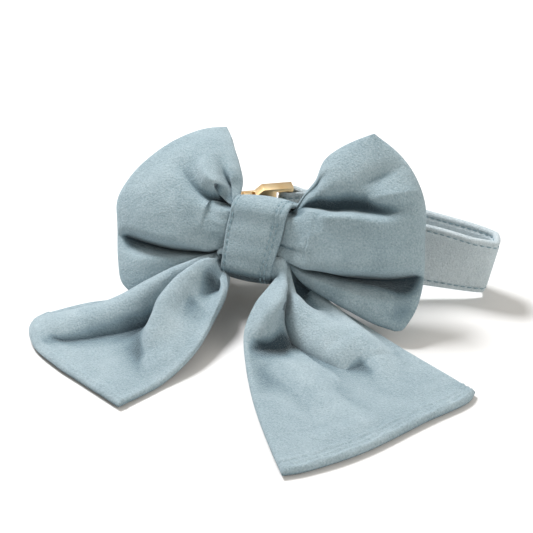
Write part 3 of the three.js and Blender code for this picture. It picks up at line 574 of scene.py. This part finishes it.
def bowLoop(name, loop, side):
    along, rise, (front, back) = loopSurface(loop, side)
    rows, columns = front.shape[:2]
    points = np.concatenate([front.reshape(-1, 3), back.reshape(-1, 3)])
    uv = clothUvs(along * loop["reach"], rise * loop["rise"])
    faces = [
        gridFaces(rows, columns, 0, turned=side > 0),
        gridFaces(rows, columns, rows * columns, turned=side < 0),
    ]
    # The waist end is closed by a strip between the front and the back
    start = rows * columns
    strip = [(j, j + 1, start + j + 1, start + j) for j in range(columns - 1)]
    faces = [tuple(f) for f in np.vstack(faces)] + strip
    # Painted shade in the creases and painted light on the crests, with painted patches of shade on the front
    crease = []
    for grid, sign, patches in ((front, side, loop["shadePatches"]), (back, -side, ())):
        depth = creaseDepth(grid, sign * normalsOf(grid), loopCrease)
        crease.append((depth + paintedShadePatches(along, rise, patches)).ravel())
    uvs = np.concatenate([uv, uv + otherFace])
    return closed(meshPiece(name, points, faces, uvs, np.concatenate(crease)))


for word, loop, side in (("right", rightLoop, 1), ("left", leftLoop, -1)):
    piece = bowLoop("velvet_loop_" + word, loop, side)
    # Painted shade on the loops' faces turned down, painted light on those turned up
    paintFacingShade(piece, share=0.6, level=0.2)
    finishPiece(piece, bowVelvet, "velvet_bow", "bow_loop_" + word)
print("bow loops made")


# Tails: two layers of velvet sewn together and turned, gathered to a neck under the waist

rightTail = {
    "length": 100,
    "thickness": 2.8,
    "near": [
        (0.125, 0.1, 0.165), (0.105, 0.18, 0.16), (0.095, 0.28, 0.13), (0.1, 0.4, 0.08),
        (0.16, 0.53, 0.03), (0.28, 0.73, 0), (0.42, 0.93, 0), (0.5, 1.035, 0),
    ],
    "far": [
        (0.15, 0.01, 0.115), (0.2, 0.0, 0.06), (0.31, 0.025, 0.025), (0.47, 0.09, 0.01),
        (0.65, 0.18, 0), (0.85, 0.28, 0), (0.97, 0.345, 0),
    ],
    "end": [(0.56, 0.99, 0), (0.7, 0.835, 0), (0.86, 0.57, 0), (0.965, 0.4, 0)],
    "folds": [
        # The roll by the knot, which ends in a crease where the flat cloth is tucked up under it
        fold([
            (0.14, 0.2, 3.5), (0.22, 0.2, 7), (0.3, 0.21, 9),
        ], 0.17, 0.24, power=1.6, ease=0.15, bulge=0.5),
        fold([
            (0, 0.4, 0), (0.1, 0.425, -1.2), (0.2, 0.45, -2.2), (0.3, 0.46, -2.6), (0.38, 0.455, -2),
        ], 0.06, 0.03, across=True),
        # The deep valley to its right, and the fold that leans over it
        fold([
            (0.14, 0.46, -5), (0.22, 0.44, -10), (0.32, 0.43, -11), (0.39, 0.43, -9), (0.46, 0.46, -7),
            (0.53, 0.5, -6), (0.6, 0.55, -5), (0.66, 0.59, -2),
        ], 0.035, 0.055, power=1.5, tuck=2.6, tuckOver=0.06),
        fold([
            (0.14, 0.53, 0), (0.24, 0.53, 2.5), (0.32, 0.53, 3.5), (0.4, 0.53, 1.5), (0.46, 0.54, 0),
        ], 0.06, 0.05),
        fold([
            (0.26, 0.57, 1), (0.34, 0.58, 4), (0.42, 0.6, 6.5), (0.5, 0.63, 7), (0.57, 0.66, 5.5),
        ], 0.15, 0.1, power=1.8, ease=0.1, bulge=0.6),
        # The pocket beyond it, the broad ridge, and the crease where the ridge ends
        fold([(0.16, 0.63, -2), (0.26, 0.64, -5), (0.32, 0.66, -4), (0.4, 0.69, 0)], 0.06, 0.04),
        fold([
            (0.26, 0.86, 2), (0.36, 0.84, 4), (0.48, 0.82, 4), (0.6, 0.81, 4), (0.68, 0.78, 3),
            (0.76, 0.72, 1.5), (0.84, 0.66, 0),
        ], 0.1, 0.09),
        fold([
            (0.5, 0.64, 0), (0.58, 0.67, -1), (0.66, 0.68, -1), (0.74, 0.68, 0),
        ], 0.08, 0.06, across=True),
        fold([(0.5, 0.1, 0), (0.62, 0.12, -1.2), (0.78, 0.2, -1.3), (0.9, 0.26, 0)], 0.14, 0.14),
        fold([(0.5, 0.22, 0), (0.6, 0.31, 1.3), (0.75, 0.37, 1.8), (0.9, 0.43, 1.2)], 0.13, 0.12),
        fold([(0.68, 0.5, 0), (0.8, 0.55, -1.7), (0.92, 0.6, -1)], 0.13, 0.12),
        fold([(0.7, 0.2, 0), (0.85, 0.2, 1), (0.95, 0.2, 0.5)], 0.12, 0.12),
    ],
    "neck": [
        (0, 5.4, -13.6), (0.12, 6.6, -12.2), (0.25, 6.6, -9), (0.34, 5.8, -7), (0.42, 4, -7.6),
        (0.46, 3, -9.4), (0.52, 3.4, -7.6), (0.58, 3, -6.6), (0.66, 2, -8.4), (0.76, 1.4, -7.4),
        (0.86, 0.2, -7.4), (1, -3, -10),
    ],
    "hem": (1.4, 3.0, 4.8),
    # Patches of painted shade on top: (along, rise, run, spread, amount)
    "shadePatches": [
        (0.38, 0.47, 0.09, 0.05, -1), (0.43, 0.33, 0.035, 0.08, -0.8), (0.49, 0.5, 0.05, 0.035, -0.45),
        (0.56, 0.56, 0.05, 0.03, -0.35), (0.25, 0.78, 0.045, 0.07, -0.5), (0.36, 0.3, 0.08, 0.08, -0.25),
    ],
    "seed": 12,
}

leftTail = {
    "length": 90,
    "thickness": 2.8,
    "near": [
        (0.14, 0.12, 0.18), (0.09, 0.19, 0.16), (0.05, 0.27, 0.14), (0.04, 0.39, 0.1),
        (0.04, 0.6, 0.045), (0.1, 0.8, 0), (0.19, 0.995, 0),
    ],
    "far": [(0.2, 0.08, 0.12), (0.34, 0.18, 0.05), (0.5, 0.27, 0.01), (0.66, 0.37, 0), (0.79, 0.52, 0)],
    "end": [(0.31, 0.945, 0), (0.43, 0.895, 0), (0.56, 0.84, 0), (0.72, 0.745, 0), (0.8, 0.63, 0)],
    "folds": [
        # The near roll, the valley behind it and the roll along the far edge
        fold([
            (0.14, 0.42, 4), (0.22, 0.46, 8), (0.32, 0.51, 11), (0.42, 0.51, 12), (0.52, 0.46, 11.5),
            (0.61, 0.39, 9), (0.68, 0.32, 5.6), (0.73, 0.25, 3), (0.79, 0.17, 1.1), (0.84, 0.12, 0),
        ], 0.09, 0.2),
        fold([
            (0.3, 0.64, -3), (0.45, 0.64, -5), (0.56, 0.6, -4), (0.66, 0.54, -3), (0.8, 0.55, -2),
            (0.88, 0.6, -1.5), (0.95, 0.74, 0),
        ], 0.05, 0.06),
        fold([
            (0.14, 0.8, 4), (0.3, 0.8, 8.5), (0.42, 0.79, 10.2), (0.52, 0.78, 9.6), (0.62, 0.75, 8.4),
            (0.72, 0.73, 7.2), (0.82, 0.74, 6), (0.9, 0.77, 4.5), (0.96, 0.82, 2.5),
        ], 0.13, 0.115, power=2.3),
        # The pocket beside the knot, and the dents on the near roll
        fold([
            (0.1, 0.22, -4), (0.2, 0.23, -6.5), (0.27, 0.25, -5.5), (0.34, 0.29, -3), (0.42, 0.34, 0),
        ], 0.09, 0.13),
        fold([(0.4, 0.38, 0), (0.46, 0.36, -1.2), (0.52, 0.33, -1), (0.58, 0.3, 0)], 0.07, 0.08),
        fold([(0.6, 0.2, 0), (0.72, 0.24, -1), (0.85, 0.3, 0)], 0.1, 0.1),
    ],
    "neck": [
        (0, 4.6, -14.4), (0.1, 4, -13.8), (0.2, 2.4, -12.6), (0.28, 1.8, -11), (0.35, 3, -9.4),
        (0.42, 5.6, -8.6), (0.48, 6.6, -7.4), (0.54, 5.4, -6.6), (0.62, 3, -8.6), (0.7, 2, -9.6),
        (0.8, 2.2, -7.4), (0.88, 0.5, -7), (1, -3, -10),
    ],
    # Patches of painted shade on top: (along, rise, run, spread, amount)
    "hem": (2.2,),
    "shadePatches": [
        (0.92, 0.68, 0.1, 0.05, -0.3), (0.76, 0.65, 0.14, 0.06, -0.5), (0.66, 0.62, 0.08, 0.055, -0.3),
        (0.56, 0.68, 0.08, 0.07, -0.2), (0.3, 0.36, 0.06, 0.11, -1.3), (0.44, 0.3, 0.08, 0.09, -0.4),
    ],
    "seed": 21,
}

tailGrid = (170, 150)
# The cloth's width, the round of its turned edge and the hem's ridges, in millimetres. The edge is never
# thinner than a share of the cloth's half, and the ridges wander a little on their way across.
tailEdge = {
    "across": 60, "round": 1.4, "thinnest": 0.12,
    "ridge": 0.5, "ridgeWidth": 0.45, "wander": 0.25, "waves": 40,
}
tailCrease = ((4, 1.1), (10, 3.2), (20, 8.0))


def tailCurves(tail, side):
    lift = tail["thickness"] / 2
    length = tail["length"]
    ground = np.array([origin[0], origin[1], lift])

    def place(rows):
        return [ground + length * np.array([side * across, -ahead, high]) for across, ahead, high in rows]

    neckFront = bow["waistAhead"] + bow["waistDepth"] / 2 - lift
    neckBack = bow["waistAhead"] - bow["waistDepth"] / 2 + lift
    neck = lambda ahead: [inBow((out, ahead, bow["neckMiddle"]), side) for out in bow["waistOuts"]]
    lower = [*neck(neckFront), *place(tail["near"])]
    upper = [*neck(neckBack), *place(tail["far"])]
    outer = [lower[-1], *place(tail["end"]), upper[-1]]
    return curveThrough(lower), curveThrough(upper), curveThrough(outer)


def tailSurface(tail, side):
    along = cosineShares(tailGrid[0], 0.3)
    rise = cosineShares(tailGrid[1], 0.6)
    middle = spanned(*tailCurves(tail, side), along, rise)
    normal = normalsOf(middle) * side
    height, shift = foldSum(tail["folds"], along, rise)
    aside = unit(np.gradient(middle, axis=1))
    atEdge = np.minimum(1, 9 * rise * (1 - rise))[None]
    pastKnot = smooth((along - 0.1) / 0.16)[:, None]
    height = height * atEdge * pastKnot
    height = height + ripple(height.shape, [(2, 0.25), (5, 0.12)], tail["seed"]) * pastKnot
    out = np.abs(middle[..., 0] - origin[0]).mean(axis=1)
    middle = middle + normal * height[..., None] + aside * (shift * pastKnot)[..., None]
    lift = tail["thickness"] / 2
    above = middle[..., 2] - lift
    middle[..., 2] = lift + (above + np.sqrt(above ** 2 + 0.16)) / 2
    # Inside the knot and just out of it the cloth keeps the folded form of its neck
    profile = lookUp(tail["neck"], rise)
    neck = np.zeros(middle.shape)
    neck[..., 0] = np.minimum(out, 16)[:, None]
    neck[..., 1:] = profile[None]
    opened = smooth((along - 0.1) / 0.18)[:, None, None]
    middle = inBow(neck, side) * (1 - opened) + middle * opened
    fresh = normalsOf(middle) * side
    half = np.full(height.shape, lift)
    # The turned edges are round, and a seam ridge runs just inside them
    fromEdge = np.minimum(rise, 1 - rise)[None] * tailEdge["across"] + 0 * along[:, None]
    fromEnd = (1 - along)[:, None] * tail["length"] + 0 * rise[None]
    edge = np.minimum(fromEdge, fromEnd)
    roundness = np.sqrt(1 - (1 - np.clip(edge / tailEdge["round"], 0, 1)) ** 2)
    half = half * np.maximum(roundness, tailEdge["thinnest"])
    # The hem's layers show on top as fine ridges beside its end
    ridges = 0
    for at in tail["hem"]:
        away = fromEnd - at - tailEdge["wander"] * np.sin(rise * tailEdge["waves"] + at)
        ridges = ridges + np.exp(-(away / tailEdge["ridgeWidth"]) ** 2)
    top = middle + fresh * (half + tailEdge["ridge"] * ridges)[..., None]
    bottom = middle - fresh * half[..., None]
    bottom[..., 2] = np.maximum(bottom[..., 2], 0)
    return along, rise, top, bottom


def bowTail(name, tail, side):
    along, rise, top, bottom = tailSurface(tail, side)
    rows, columns = top.shape[:2]
    points = np.concatenate([top.reshape(-1, 3), bottom.reshape(-1, 3)])
    uv = clothUvs(along * tail["length"], rise * tailEdge["across"])
    start = rows * columns
    faces = [tuple(f) for f in np.vstack([
        gridFaces(rows, columns, 0, turned=side < 0),
        gridFaces(rows, columns, start, turned=side > 0),
    ])]
    rim = [(0, j) for j in range(columns)] + [(i, columns - 1) for i in range(1, rows)]
    rim += [(rows - 1, j) for j in range(columns - 2, -1, -1)] + [(i, 0) for i in range(rows - 2, 0, -1)]
    for k, (i, j) in enumerate(rim):
        ni, nj = rim[(k + 1) % len(rim)]
        a = i * columns + j
        b = ni * columns + nj
        faces.append((a, b, start + b, start + a))
    outward = normalsOf(top)
    outward = np.where(outward[..., 2:3] < 0, -outward, outward)
    # Painted shade in the creases and painted light on the crests, with painted patches of shade on top
    crease = (creaseDepth(top, outward, tailCrease) + paintedShadePatches(along, rise, tail["shadePatches"])).ravel()
    crease = np.concatenate([crease, 0 * crease])
    return closed(meshPiece(name, points, faces, np.concatenate([uv, uv + otherFace]), crease), 0.0002)


for word, tail, side in (("right", rightTail, 1), ("left", leftTail, -1)):
    piece = bowTail("velvet_tail_" + word, tail, side)
    # Painted shade on the tails' faces turned down, painted light on those turned up
    paintFacingShade(piece, share=0.5, level=0.75)
    finishPiece(piece, tailVelvet, "velvet_tail", "tail_" + word)
print("tails made")


# Stitches: short lengths of thread, each sunk into the cloth at both ends

stitch = {
    "length": 2.0,
    "pitch": 2.7,
    "radius": 0.26,
    "rings": ((0, -0.2, 0.4), (0.12, 0, 0.85), (0.5, 0.12, 1), (0.88, 0, 0.85), (1, -0.2, 0.4)),
    "sides": 6,
}


def stitchRows(name, rows):
    # Each row is a line along the cloth and the cloth's outward direction beside it
    points = []
    faces = []
    sides = stitch["sides"]
    for line, outward in rows:
        run = runAlong(line)
        for first in np.arange(stitch["pitch"] / 2, run[-1] - stitch["pitch"], stitch["pitch"]):
            at = np.array([first + stitch["length"] * share for share, _, _ in stitch["rings"]])
            place = np.stack([np.interp(at, run, line[:, n]) for n in range(3)], -1)
            up = np.stack([np.interp(at, run, outward[:, n]) for n in range(3)], -1)
            heading = unit(place[-1] - place[0])
            base = len(points)
            for middle, out, (_, lift, share) in zip(place, up, stitch["rings"]):
                out = unit(out)
                aside = np.cross(heading, out)
                for turn in np.arange(sides) * tau / sides:
                    radius = stitch["radius"] * share
                    points.append(middle + out * (lift + radius * cos(turn)) + aside * radius * sin(turn))
            faces += [tuple(f) for f in gridFaces(len(place), sides, base, wrapColumns=True)]
            faces.append(tuple(range(base, base + sides)))
            faces.append(tuple(range(len(points) - sides, len(points))))
    return closed(meshPiece(name, points, faces), 0.001)


# Knot band: a doubled strip of velvet, stitched along both edges and wrapped round the waist

knot = {
    "width": 23.0,
    "wall": 1.8,
    "edgeRound": 0.85,
    "innerHeight": 28.2,
    "innerDepth": 15.2,
    "middleAhead": -0.4,
    "middleHigh": -0.7,
    "frontCorner": 5.5,
    "backCorner": 3.9,
    "swell": 0.9,
    "lowerTaper": 0.09,
    "tilt": 0.07,
    "leftStitch": 1.6,
    "rightStitches": (2.6, 4.3),
    "groove": 0.28,
    "grooveWidth": 0.55,
}


def knotPath(count):
    # The outside of the wrap as (ahead, high, outward ahead, outward high), from the front's middle upward
    wide = knot["innerDepth"] / 2 + knot["wall"]
    tall = knot["innerHeight"] / 2 + knot["wall"]
    rows = []
    for signAhead, signHigh, first in ((1, 1, 0), (-1, 1, 1), (-1, -1, 2), (1, -1, 3)):
        corner = knot["frontCorner"] if signAhead > 0 else knot["backCorner"]
        for turn in np.linspace(first, first + 1, 14) * pi / 2:
            ahead = signAhead * (wide - corner) + cos(turn) * corner
            high = signHigh * (tall - corner) + sin(turn) * corner
            rows.append((ahead, high, cos(turn), sin(turn)))
    rows.append(rows[0])
    rows = np.array(rows)
    run = runAlong(rows[:, :2])
    at = np.linspace(0, run[-1], count, endpoint=False)
    path = np.stack([np.interp(at, run, rows[:, n]) for n in range(4)], -1)
    path[:, 2:] = unit(path[:, 2:])
    return at, run[-1], path


def knotPoint(path, across, out):
    # A place on the wrap by its share across and its distance outward from the strip's outer face
    ahead = path[:, 0] + path[:, 2] * out
    high = path[:, 1] + path[:, 3] * out
    # Gathered a little narrower toward its lower end
    taper = 1 - knot["lowerTaper"] * smooth((4 - high) / 16)
    out = across * taper + knot["tilt"] * high
    return inBow(np.stack([out, knot["middleAhead"] + ahead, knot["middleHigh"] + high], -1))


def knotFace(x):
    half = knot["width"] / 2
    lines = [-half + knot["leftStitch"]] + [half - s for s in knot["rightStitches"]]
    out = knot["swell"] * (1 - (x / half) ** 2)
    for line in lines:
        out -= knot["groove"] * np.exp(-((x - line) / knot["grooveWidth"]) ** 2)
    return out


def knotBand():
    at, whole, path = knotPath(300)
    half = knot["width"] / 2
    edge = knot["edgeRound"]
    core = knot["wall"] / 2

    def turnedEdge(side, turns):
        out = knotFace(side * (half - edge))
        return [
            (side * (half - edge + edge * sin(turn)), core * (cos(turn) - 1) + out * (1 + cos(turn)) / 2)
            for turn in turns
        ]

    section = [(x, knotFace(x)) for x in np.linspace(half - edge, -half + edge, 60)]
    section += turnedEdge(-1, np.linspace(0, pi, 9)[1:-1])
    section += [(x, -knot["wall"]) for x in np.linspace(-half + edge, half - edge, 12)]
    section += turnedEdge(1, np.linspace(pi, 0, 9)[1:-1])
    section = np.array(section)
    wave = 0.12 * np.sin(tau * at / whole * 5) + 0.08 * np.sin(tau * at / whole * 11 + 1)
    rings = []
    for x, out in section:
        rings.append(knotPoint(path, x + 0 * at, out + wave * (out > -1)))
    points = np.stack(rings, 1)
    faces = gridFaces(len(at), len(section), 0, wrapRows=True, wrapColumns=True)
    run = runAlong(section)
    uv = clothUvs(at, run)
    return closed(meshPiece("velvet_knot", points.reshape(-1, 3), faces, uv)), whole


def knotStitches():
    at, whole, path = knotPath(300)
    half = knot["width"] / 2
    rows = []
    for x in [-half + knot["leftStitch"]] + [half - s for s in knot["rightStitches"]]:
        line = knotPoint(path, x + 0 * at, knotFace(x) + 0.1 + 0 * at)
        rows.append((line, knotPoint(path, x + 0 * at, knotFace(x) + 1.1 + 0 * at) - line))
    return stitchRows("stitching_knot", rows)


knotPiece, knotRound = knotBand()
# Painted shade toward the knot's lower faces, painted light on its top
paintFacingShade(knotPiece, share=1.8, level=0.2)
finishPiece(knotPiece, bowVelvet, "velvet_bow", "knot_band")
finishPiece(knotStitches(), thread, "velvet_bow")
print("knot made")


# Collar band: one padded strip, stitched along both edges, its ends turned round the buckle bars

band = {
    "width": 25.0,
    "thickness": 3.0,
    "foldLayer": 1.9,
    "foldBack": 22.0,
    "layerSteps": (0, 4, 8, 12, 15),
    "barGap": 0.2,
    "eyeTurn": 2.1,
    "pastEye": (-7, 0.1),
    "reach": 84.0,
    "depth": 54.0,
    "aheadInKnot": -6.2,
    "stitchIn": 2.4,
    "groove": 0.42,
    "grooveWidth": 0.6,
    "edgeRound": 1.1,
    "seamReach": 4.2,
    "lip": 0.15,
    "step": 0.75,
    # Rows of (across, back, foot, lean in degrees), across and back as shares of reach and depth
    "rightRows": [
        (0.4, 0.97, 0.04, 1), (0.64, 0.88, 0.03, 4), (0.88, 0.78, 0.03, 8), (0.955, 0.71, 0.05, 12),
        (0.97, 0.63, 0.08, 12), (0.92, 0.575, 0.12, 4), (0.72, 0.455, 0.22, -14), (0.44, 0.285, 0.36, -20),
        (0.26, 0.165, 0.45, -23),
    ],
    "leftRows": [
        (-0.26, 0.165, 0.44, -16), (-0.44, 0.22, 0.34, -7), (-0.63, 0.25, 0.22, -4),
        (-0.76, 0.285, 0.14, -2), (-0.81, 0.38, 0.11, 1), (-0.785, 0.48, 0.09, 1),
    ],
}
buckle = {
    "across": -3.5,
    "back": 44.5,
    "turn": radians(32),
    "rightFoldTurn": radians(17),
    "leftFoldTurn": radians(-12),
    "length": 43.3,
    "bar": 2.6,
    "foot": 2.0,
}


def fromBar(side, along, outward):
    # A place beside the buckle bar of the band's right (1) or left (-1) end: along the band, and outward
    bar = buckle["bar"] / 2 if side > 0 else buckle["length"] - buckle["bar"] / 2
    x = buckle["across"] - bar * cos(buckle["turn"])
    y = buckle["back"] - bar * sin(buckle["turn"])
    place = np.array([origin[0] + x, origin[1] + y, buckle["foot"]])
    turn = buckle["rightFoldTurn"] if side > 0 else buckle["leftFoldTurn"]
    place[0] += -side * along * cos(turn) - outward * sin(turn)
    place[1] += -side * along * sin(turn) + outward * cos(turn)
    return place


def foldStops(side):
    # The turned end, from its cut edge round the bar and on to the plain band: (place, thickness, lean, up)
    layer = band["foldLayer"]
    whole = band["thickness"]
    behind = -whole / 2 - layer / 2
    radius = buckle["bar"] * sqrt(0.5) + band["barGap"] + whole / 2
    far = band["eyeTurn"]
    stops = [(fromBar(side, -band["foldBack"] + d, behind), layer) for d in band["layerSteps"]]
    for turn in np.linspace(-far, far, 9):
        thick = layer + (whole - layer) * smooth((turn + far) / (2 * far))
        stops.append((fromBar(side, radius * cos(turn), radius * sin(turn)), thick))
    stops.append((fromBar(side, *band["pastEye"]), whole))
    stops += [(fromBar(side, -band["foldBack"] * share, 0), whole) for share in (0.6, 0.8, 1.0)]
    return [(place, thick, 0.0, None) for place, thick in stops]


def bandStations():
    vertical = np.array([0, 0, 1.0])
    stops = foldStops(1)

    def row(across, back, foot, lean):
        place = np.array([
            origin[0] + across * band["reach"], origin[1] + back * band["depth"], foot * band["width"],
        ])
        return place, band["thickness"], radians(lean), None

    stops += [row(*r) for r in band["rightRows"]]
    knotHalf = knot["width"] / 2
    for out in (knotHalf + 1.2, knotHalf, 0, -knotHalf, -knotHalf - 1.2):
        place = inBow((out, band["aheadInKnot"], -band["width"] / 2))
        stops.append((place, band["thickness"], 0.0, upward))
    stops += [row(*r) for r in band["leftRows"]]
    stops += foldStops(-1)[::-1]
    places = np.array([s[0] for s in stops])
    curve = curveThrough(places, 40)
    dense = curve(np.linspace(0, 1, 4000))
    tangent = np.gradient(dense, axis=0)
    ups = []
    for place, thick, lean, up in stops:
        if up is None:
            flat = tangent[np.argmin(np.linalg.norm(dense - place, axis=1))].copy()
            flat[2] = 0
            flat /= np.linalg.norm(flat)
            up = vertical * cos(lean) + np.array([-flat[1], flat[0], 0]) * sin(lean)
        ups.append(up)
    count = int(runAlong(places)[-1] / band["step"])
    line = curve(np.linspace(0, 1, count))
    run = runAlong(line)
    stopRun = [run[0]]
    for place in places[1:-1]:
        near = np.linalg.norm(line - place, axis=1) + 0.002 * np.abs(run - stopRun[-1] - 4)
        near[run <= stopRun[-1]] = 1e9
        stopRun.append(run[np.argmin(near)])
    stopRun.append(run[-1])
    up = np.stack([np.interp(run, stopRun, np.array(ups)[:, n]) for n in range(3)], -1)
    thick = np.interp(run, stopRun, [s[1] for s in stops])
    return line, run, unit(up), thick


def bandHalf(high, thick):
    # Half the thickness at a height on the band: plump in the middle, sewn down near both edges
    fromEdge = min(high, band["width"] - high)
    half = thick / 2 - band["groove"] * np.exp(-((fromEdge - band["stitchIn"]) / band["grooveWidth"]) ** 2)
    return half - band["lip"] * (fromEdge < band["stitchIn"])


def bandSurface():
    line, run, up, thick = bandStations()
    across = unit(np.cross(up, unit(np.gradient(line, axis=0))))
    edge = band["edgeRound"]
    plain = band["seamReach"]
    heights = np.concatenate([
        np.linspace(edge, plain, 14)[:-1], np.linspace(plain, band["width"] - plain, 16)[:-1],
        np.linspace(band["width"] - plain, band["width"] - edge, 14),
    ])
    rings = [(high, bandHalf(high, thick)) for high in heights]
    topHalf = bandHalf(band["width"] - edge, thick)
    for turn in np.linspace(0, pi, 9)[1:-1]:
        rings.append((band["width"] - edge + edge * sin(turn), topHalf * cos(turn)))
    rings += [(high, -bandHalf(high, thick)) for high in heights[::-1]]
    footHalf = bandHalf(edge, thick)
    for turn in np.linspace(pi, 0, 9)[1:-1]:
        rings.append((edge - edge * sin(turn), footHalf * cos(turn)))
    points = []
    for high, out in rings:
        points.append(line + up * high + across * np.asarray(out)[..., None] * np.ones((len(line), 1)))
    return np.stack(points, 1), run, line, up, across, thick


def collarBand():
    points, run, *_ = bandSurface()
    rows, columns = points.shape[:2]
    faces = [tuple(f) for f in gridFaces(rows, columns, 0, wrapColumns=True)]
    faces.append(tuple(range(columns))[::-1])
    faces.append(tuple((rows - 1) * columns + j for j in range(columns)))
    v = np.linspace(0, 2 * band["width"], columns)
    return closed(meshPiece("velvet_collar_band", points.reshape(-1, 3), faces, clothUvs(run, v)))


def bandStitches():
    # One row inside each edge, on both faces
    _, _, line, up, across, thick = bandSurface()
    rows = []
    for high in (band["stitchIn"], band["width"] - band["stitchIn"]):
        for side in (1, -1):
            half = (bandHalf(high, thick) + 0.1)[:, None]
            rows.append((line + up * high + across * side * half, across * side))
    return stitchRows("stitching_band", rows)


collar = collarBand()
finishPiece(collar, bandVelvetPaintedLight, "velvet_band", "collar_band")
finishPiece(bandStitches(), thread, "velvet_band")
print("collar band made")


# Buckle: the cast pieces, with their edges rounded as casting and polishing leave them

def roundedCasting(node, name):
    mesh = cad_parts[node].data.copy()
    piece = linked(name, mesh)
    shape = bmesh.new()
    shape.from_mesh(mesh)
    bmesh.ops.remove_doubles(shape, verts=shape.verts, dist=0.01 * mm)
    bmesh.ops.dissolve_limit(shape, angle_limit=radians(2), verts=shape.verts, edges=shape.edges)
    shape.to_mesh(mesh)
    shape.free()
    bpy.ops.object.select_all(action="DESELECT")
    bpy.context.view_layer.objects.active = piece
    piece.select_set(True)
    bevel = piece.modifiers.new("polished edges", "BEVEL")
    bevel.width = 0.22 * mm
    bevel.segments = 3
    bevel.limit_method = "ANGLE"
    bevel.angle_limit = radians(35)
    bpy.ops.object.modifier_apply(modifier=bevel.name)
    bpy.ops.object.shade_smooth_by_angle(angle=radians(40))
    return finishPiece(piece, gold, "gold_metal", node)


for node in ("buckle_socket", "buckle_plug"):
    roundedCasting(node, "cast_" + node)
print("buckle made")


# Floor, light and camera

stage = {
    "floor": 4.0,
    "floorColour": "#e4e4e3",
    "skyColour": "#fbf7f1",
    "skyStrength": 0.5,
    # Each light's name, place, size and power, and its colour
    "lights": (
        ("window", (-0.52, 0.28, 0.82), 0.34, 13.9, "#fdfdff"),
        ("fill", (0.85, -0.3, 0.5), 0.6, 4.0, "#fffaf4"),
    ),
    "lit": (0, 0, 0.02),
}
# The photo's camera: angles in degrees, millimetres, and pixels of the photo
view = {
    "azimuth": 22,
    "elevation": 30,
    "distance": 520.0,
    "perMm": 2.6,
    "middle": 266.5,
    "knotPixel": (252.0, 238.0),
    "knotAhead": 8.0,
    "knotHigh": 31.0,
    "sensor": 36,
}


def plainFloor():
    bpy.ops.object.select_all(action="DESELECT")
    bpy.ops.mesh.primitive_plane_add(size=stage["floor"], location=(0, 0, 0))
    floor = bpy.context.object
    floor.name = "floor"
    material, tree, shader = newMaterial("matt_painted_board")
    shader.inputs["Base Color"].default_value = linear(stage["floorColour"])
    shader.inputs["Roughness"].default_value = 0.9
    floor.data.materials.append(material)


def softLight(name, place, size, power, colour):
    light = bpy.data.lights.new(name, "AREA")
    light.shape = "DISK"
    light.size = size
    light.energy = power
    light.color = linear(colour)[:3]
    lamp = linked(name, light)
    lamp.location = place
    lamp.rotation_euler = (Vector(stage["lit"]) - Vector(place)).to_track_quat("-Z", "Y").to_euler()


def photoCamera():
    # The photo's view: from a little to the right and above, with the knot just left of and above the middle
    azimuth, elevation = radians(view["azimuth"]), radians(view["elevation"])
    distance, perMm, middle = view["distance"], view["perMm"], view["middle"]
    knotPixel = view["knotPixel"]
    knotPlace = origin + np.array([0, -view["knotAhead"], view["knotHigh"] - origin[2]])
    back = np.array([sin(azimuth) * cos(elevation), -cos(azimuth) * cos(elevation), sin(elevation)])
    right = np.array([cos(azimuth), sin(azimuth), 0])
    top = np.cross(back, right)
    target = knotPlace + right * (middle - knotPixel[0]) / perMm + top * (knotPixel[1] - middle) / perMm
    camera = bpy.data.cameras.new("photo_camera")
    camera.sensor_width = view["sensor"]
    camera.lens = perMm * distance / (2 * middle) * view["sensor"]
    camera.clip_start, camera.clip_end = 0.01, 20
    eye = linked("photo_camera", camera)
    turned = Matrix((right, top, back)).transposed().to_4x4()
    eye.matrix_world = Matrix.Translation(Vector((target + back * distance) * mm)) @ turned
    bpy.context.scene.camera = eye


plainFloor()
for light in stage["lights"]:
    softLight(*light)
photoCamera()
world = bpy.data.worlds.new("studio")
bpy.context.scene.world = world
world.use_nodes = True
world.node_tree.nodes["Background"].inputs["Color"].default_value = linear(stage["skyColour"])
world.node_tree.nodes["Background"].inputs["Strength"].default_value = stage["skyStrength"]
bpy.context.scene.view_settings.view_transform = "Standard"
print("floor, light and camera made")
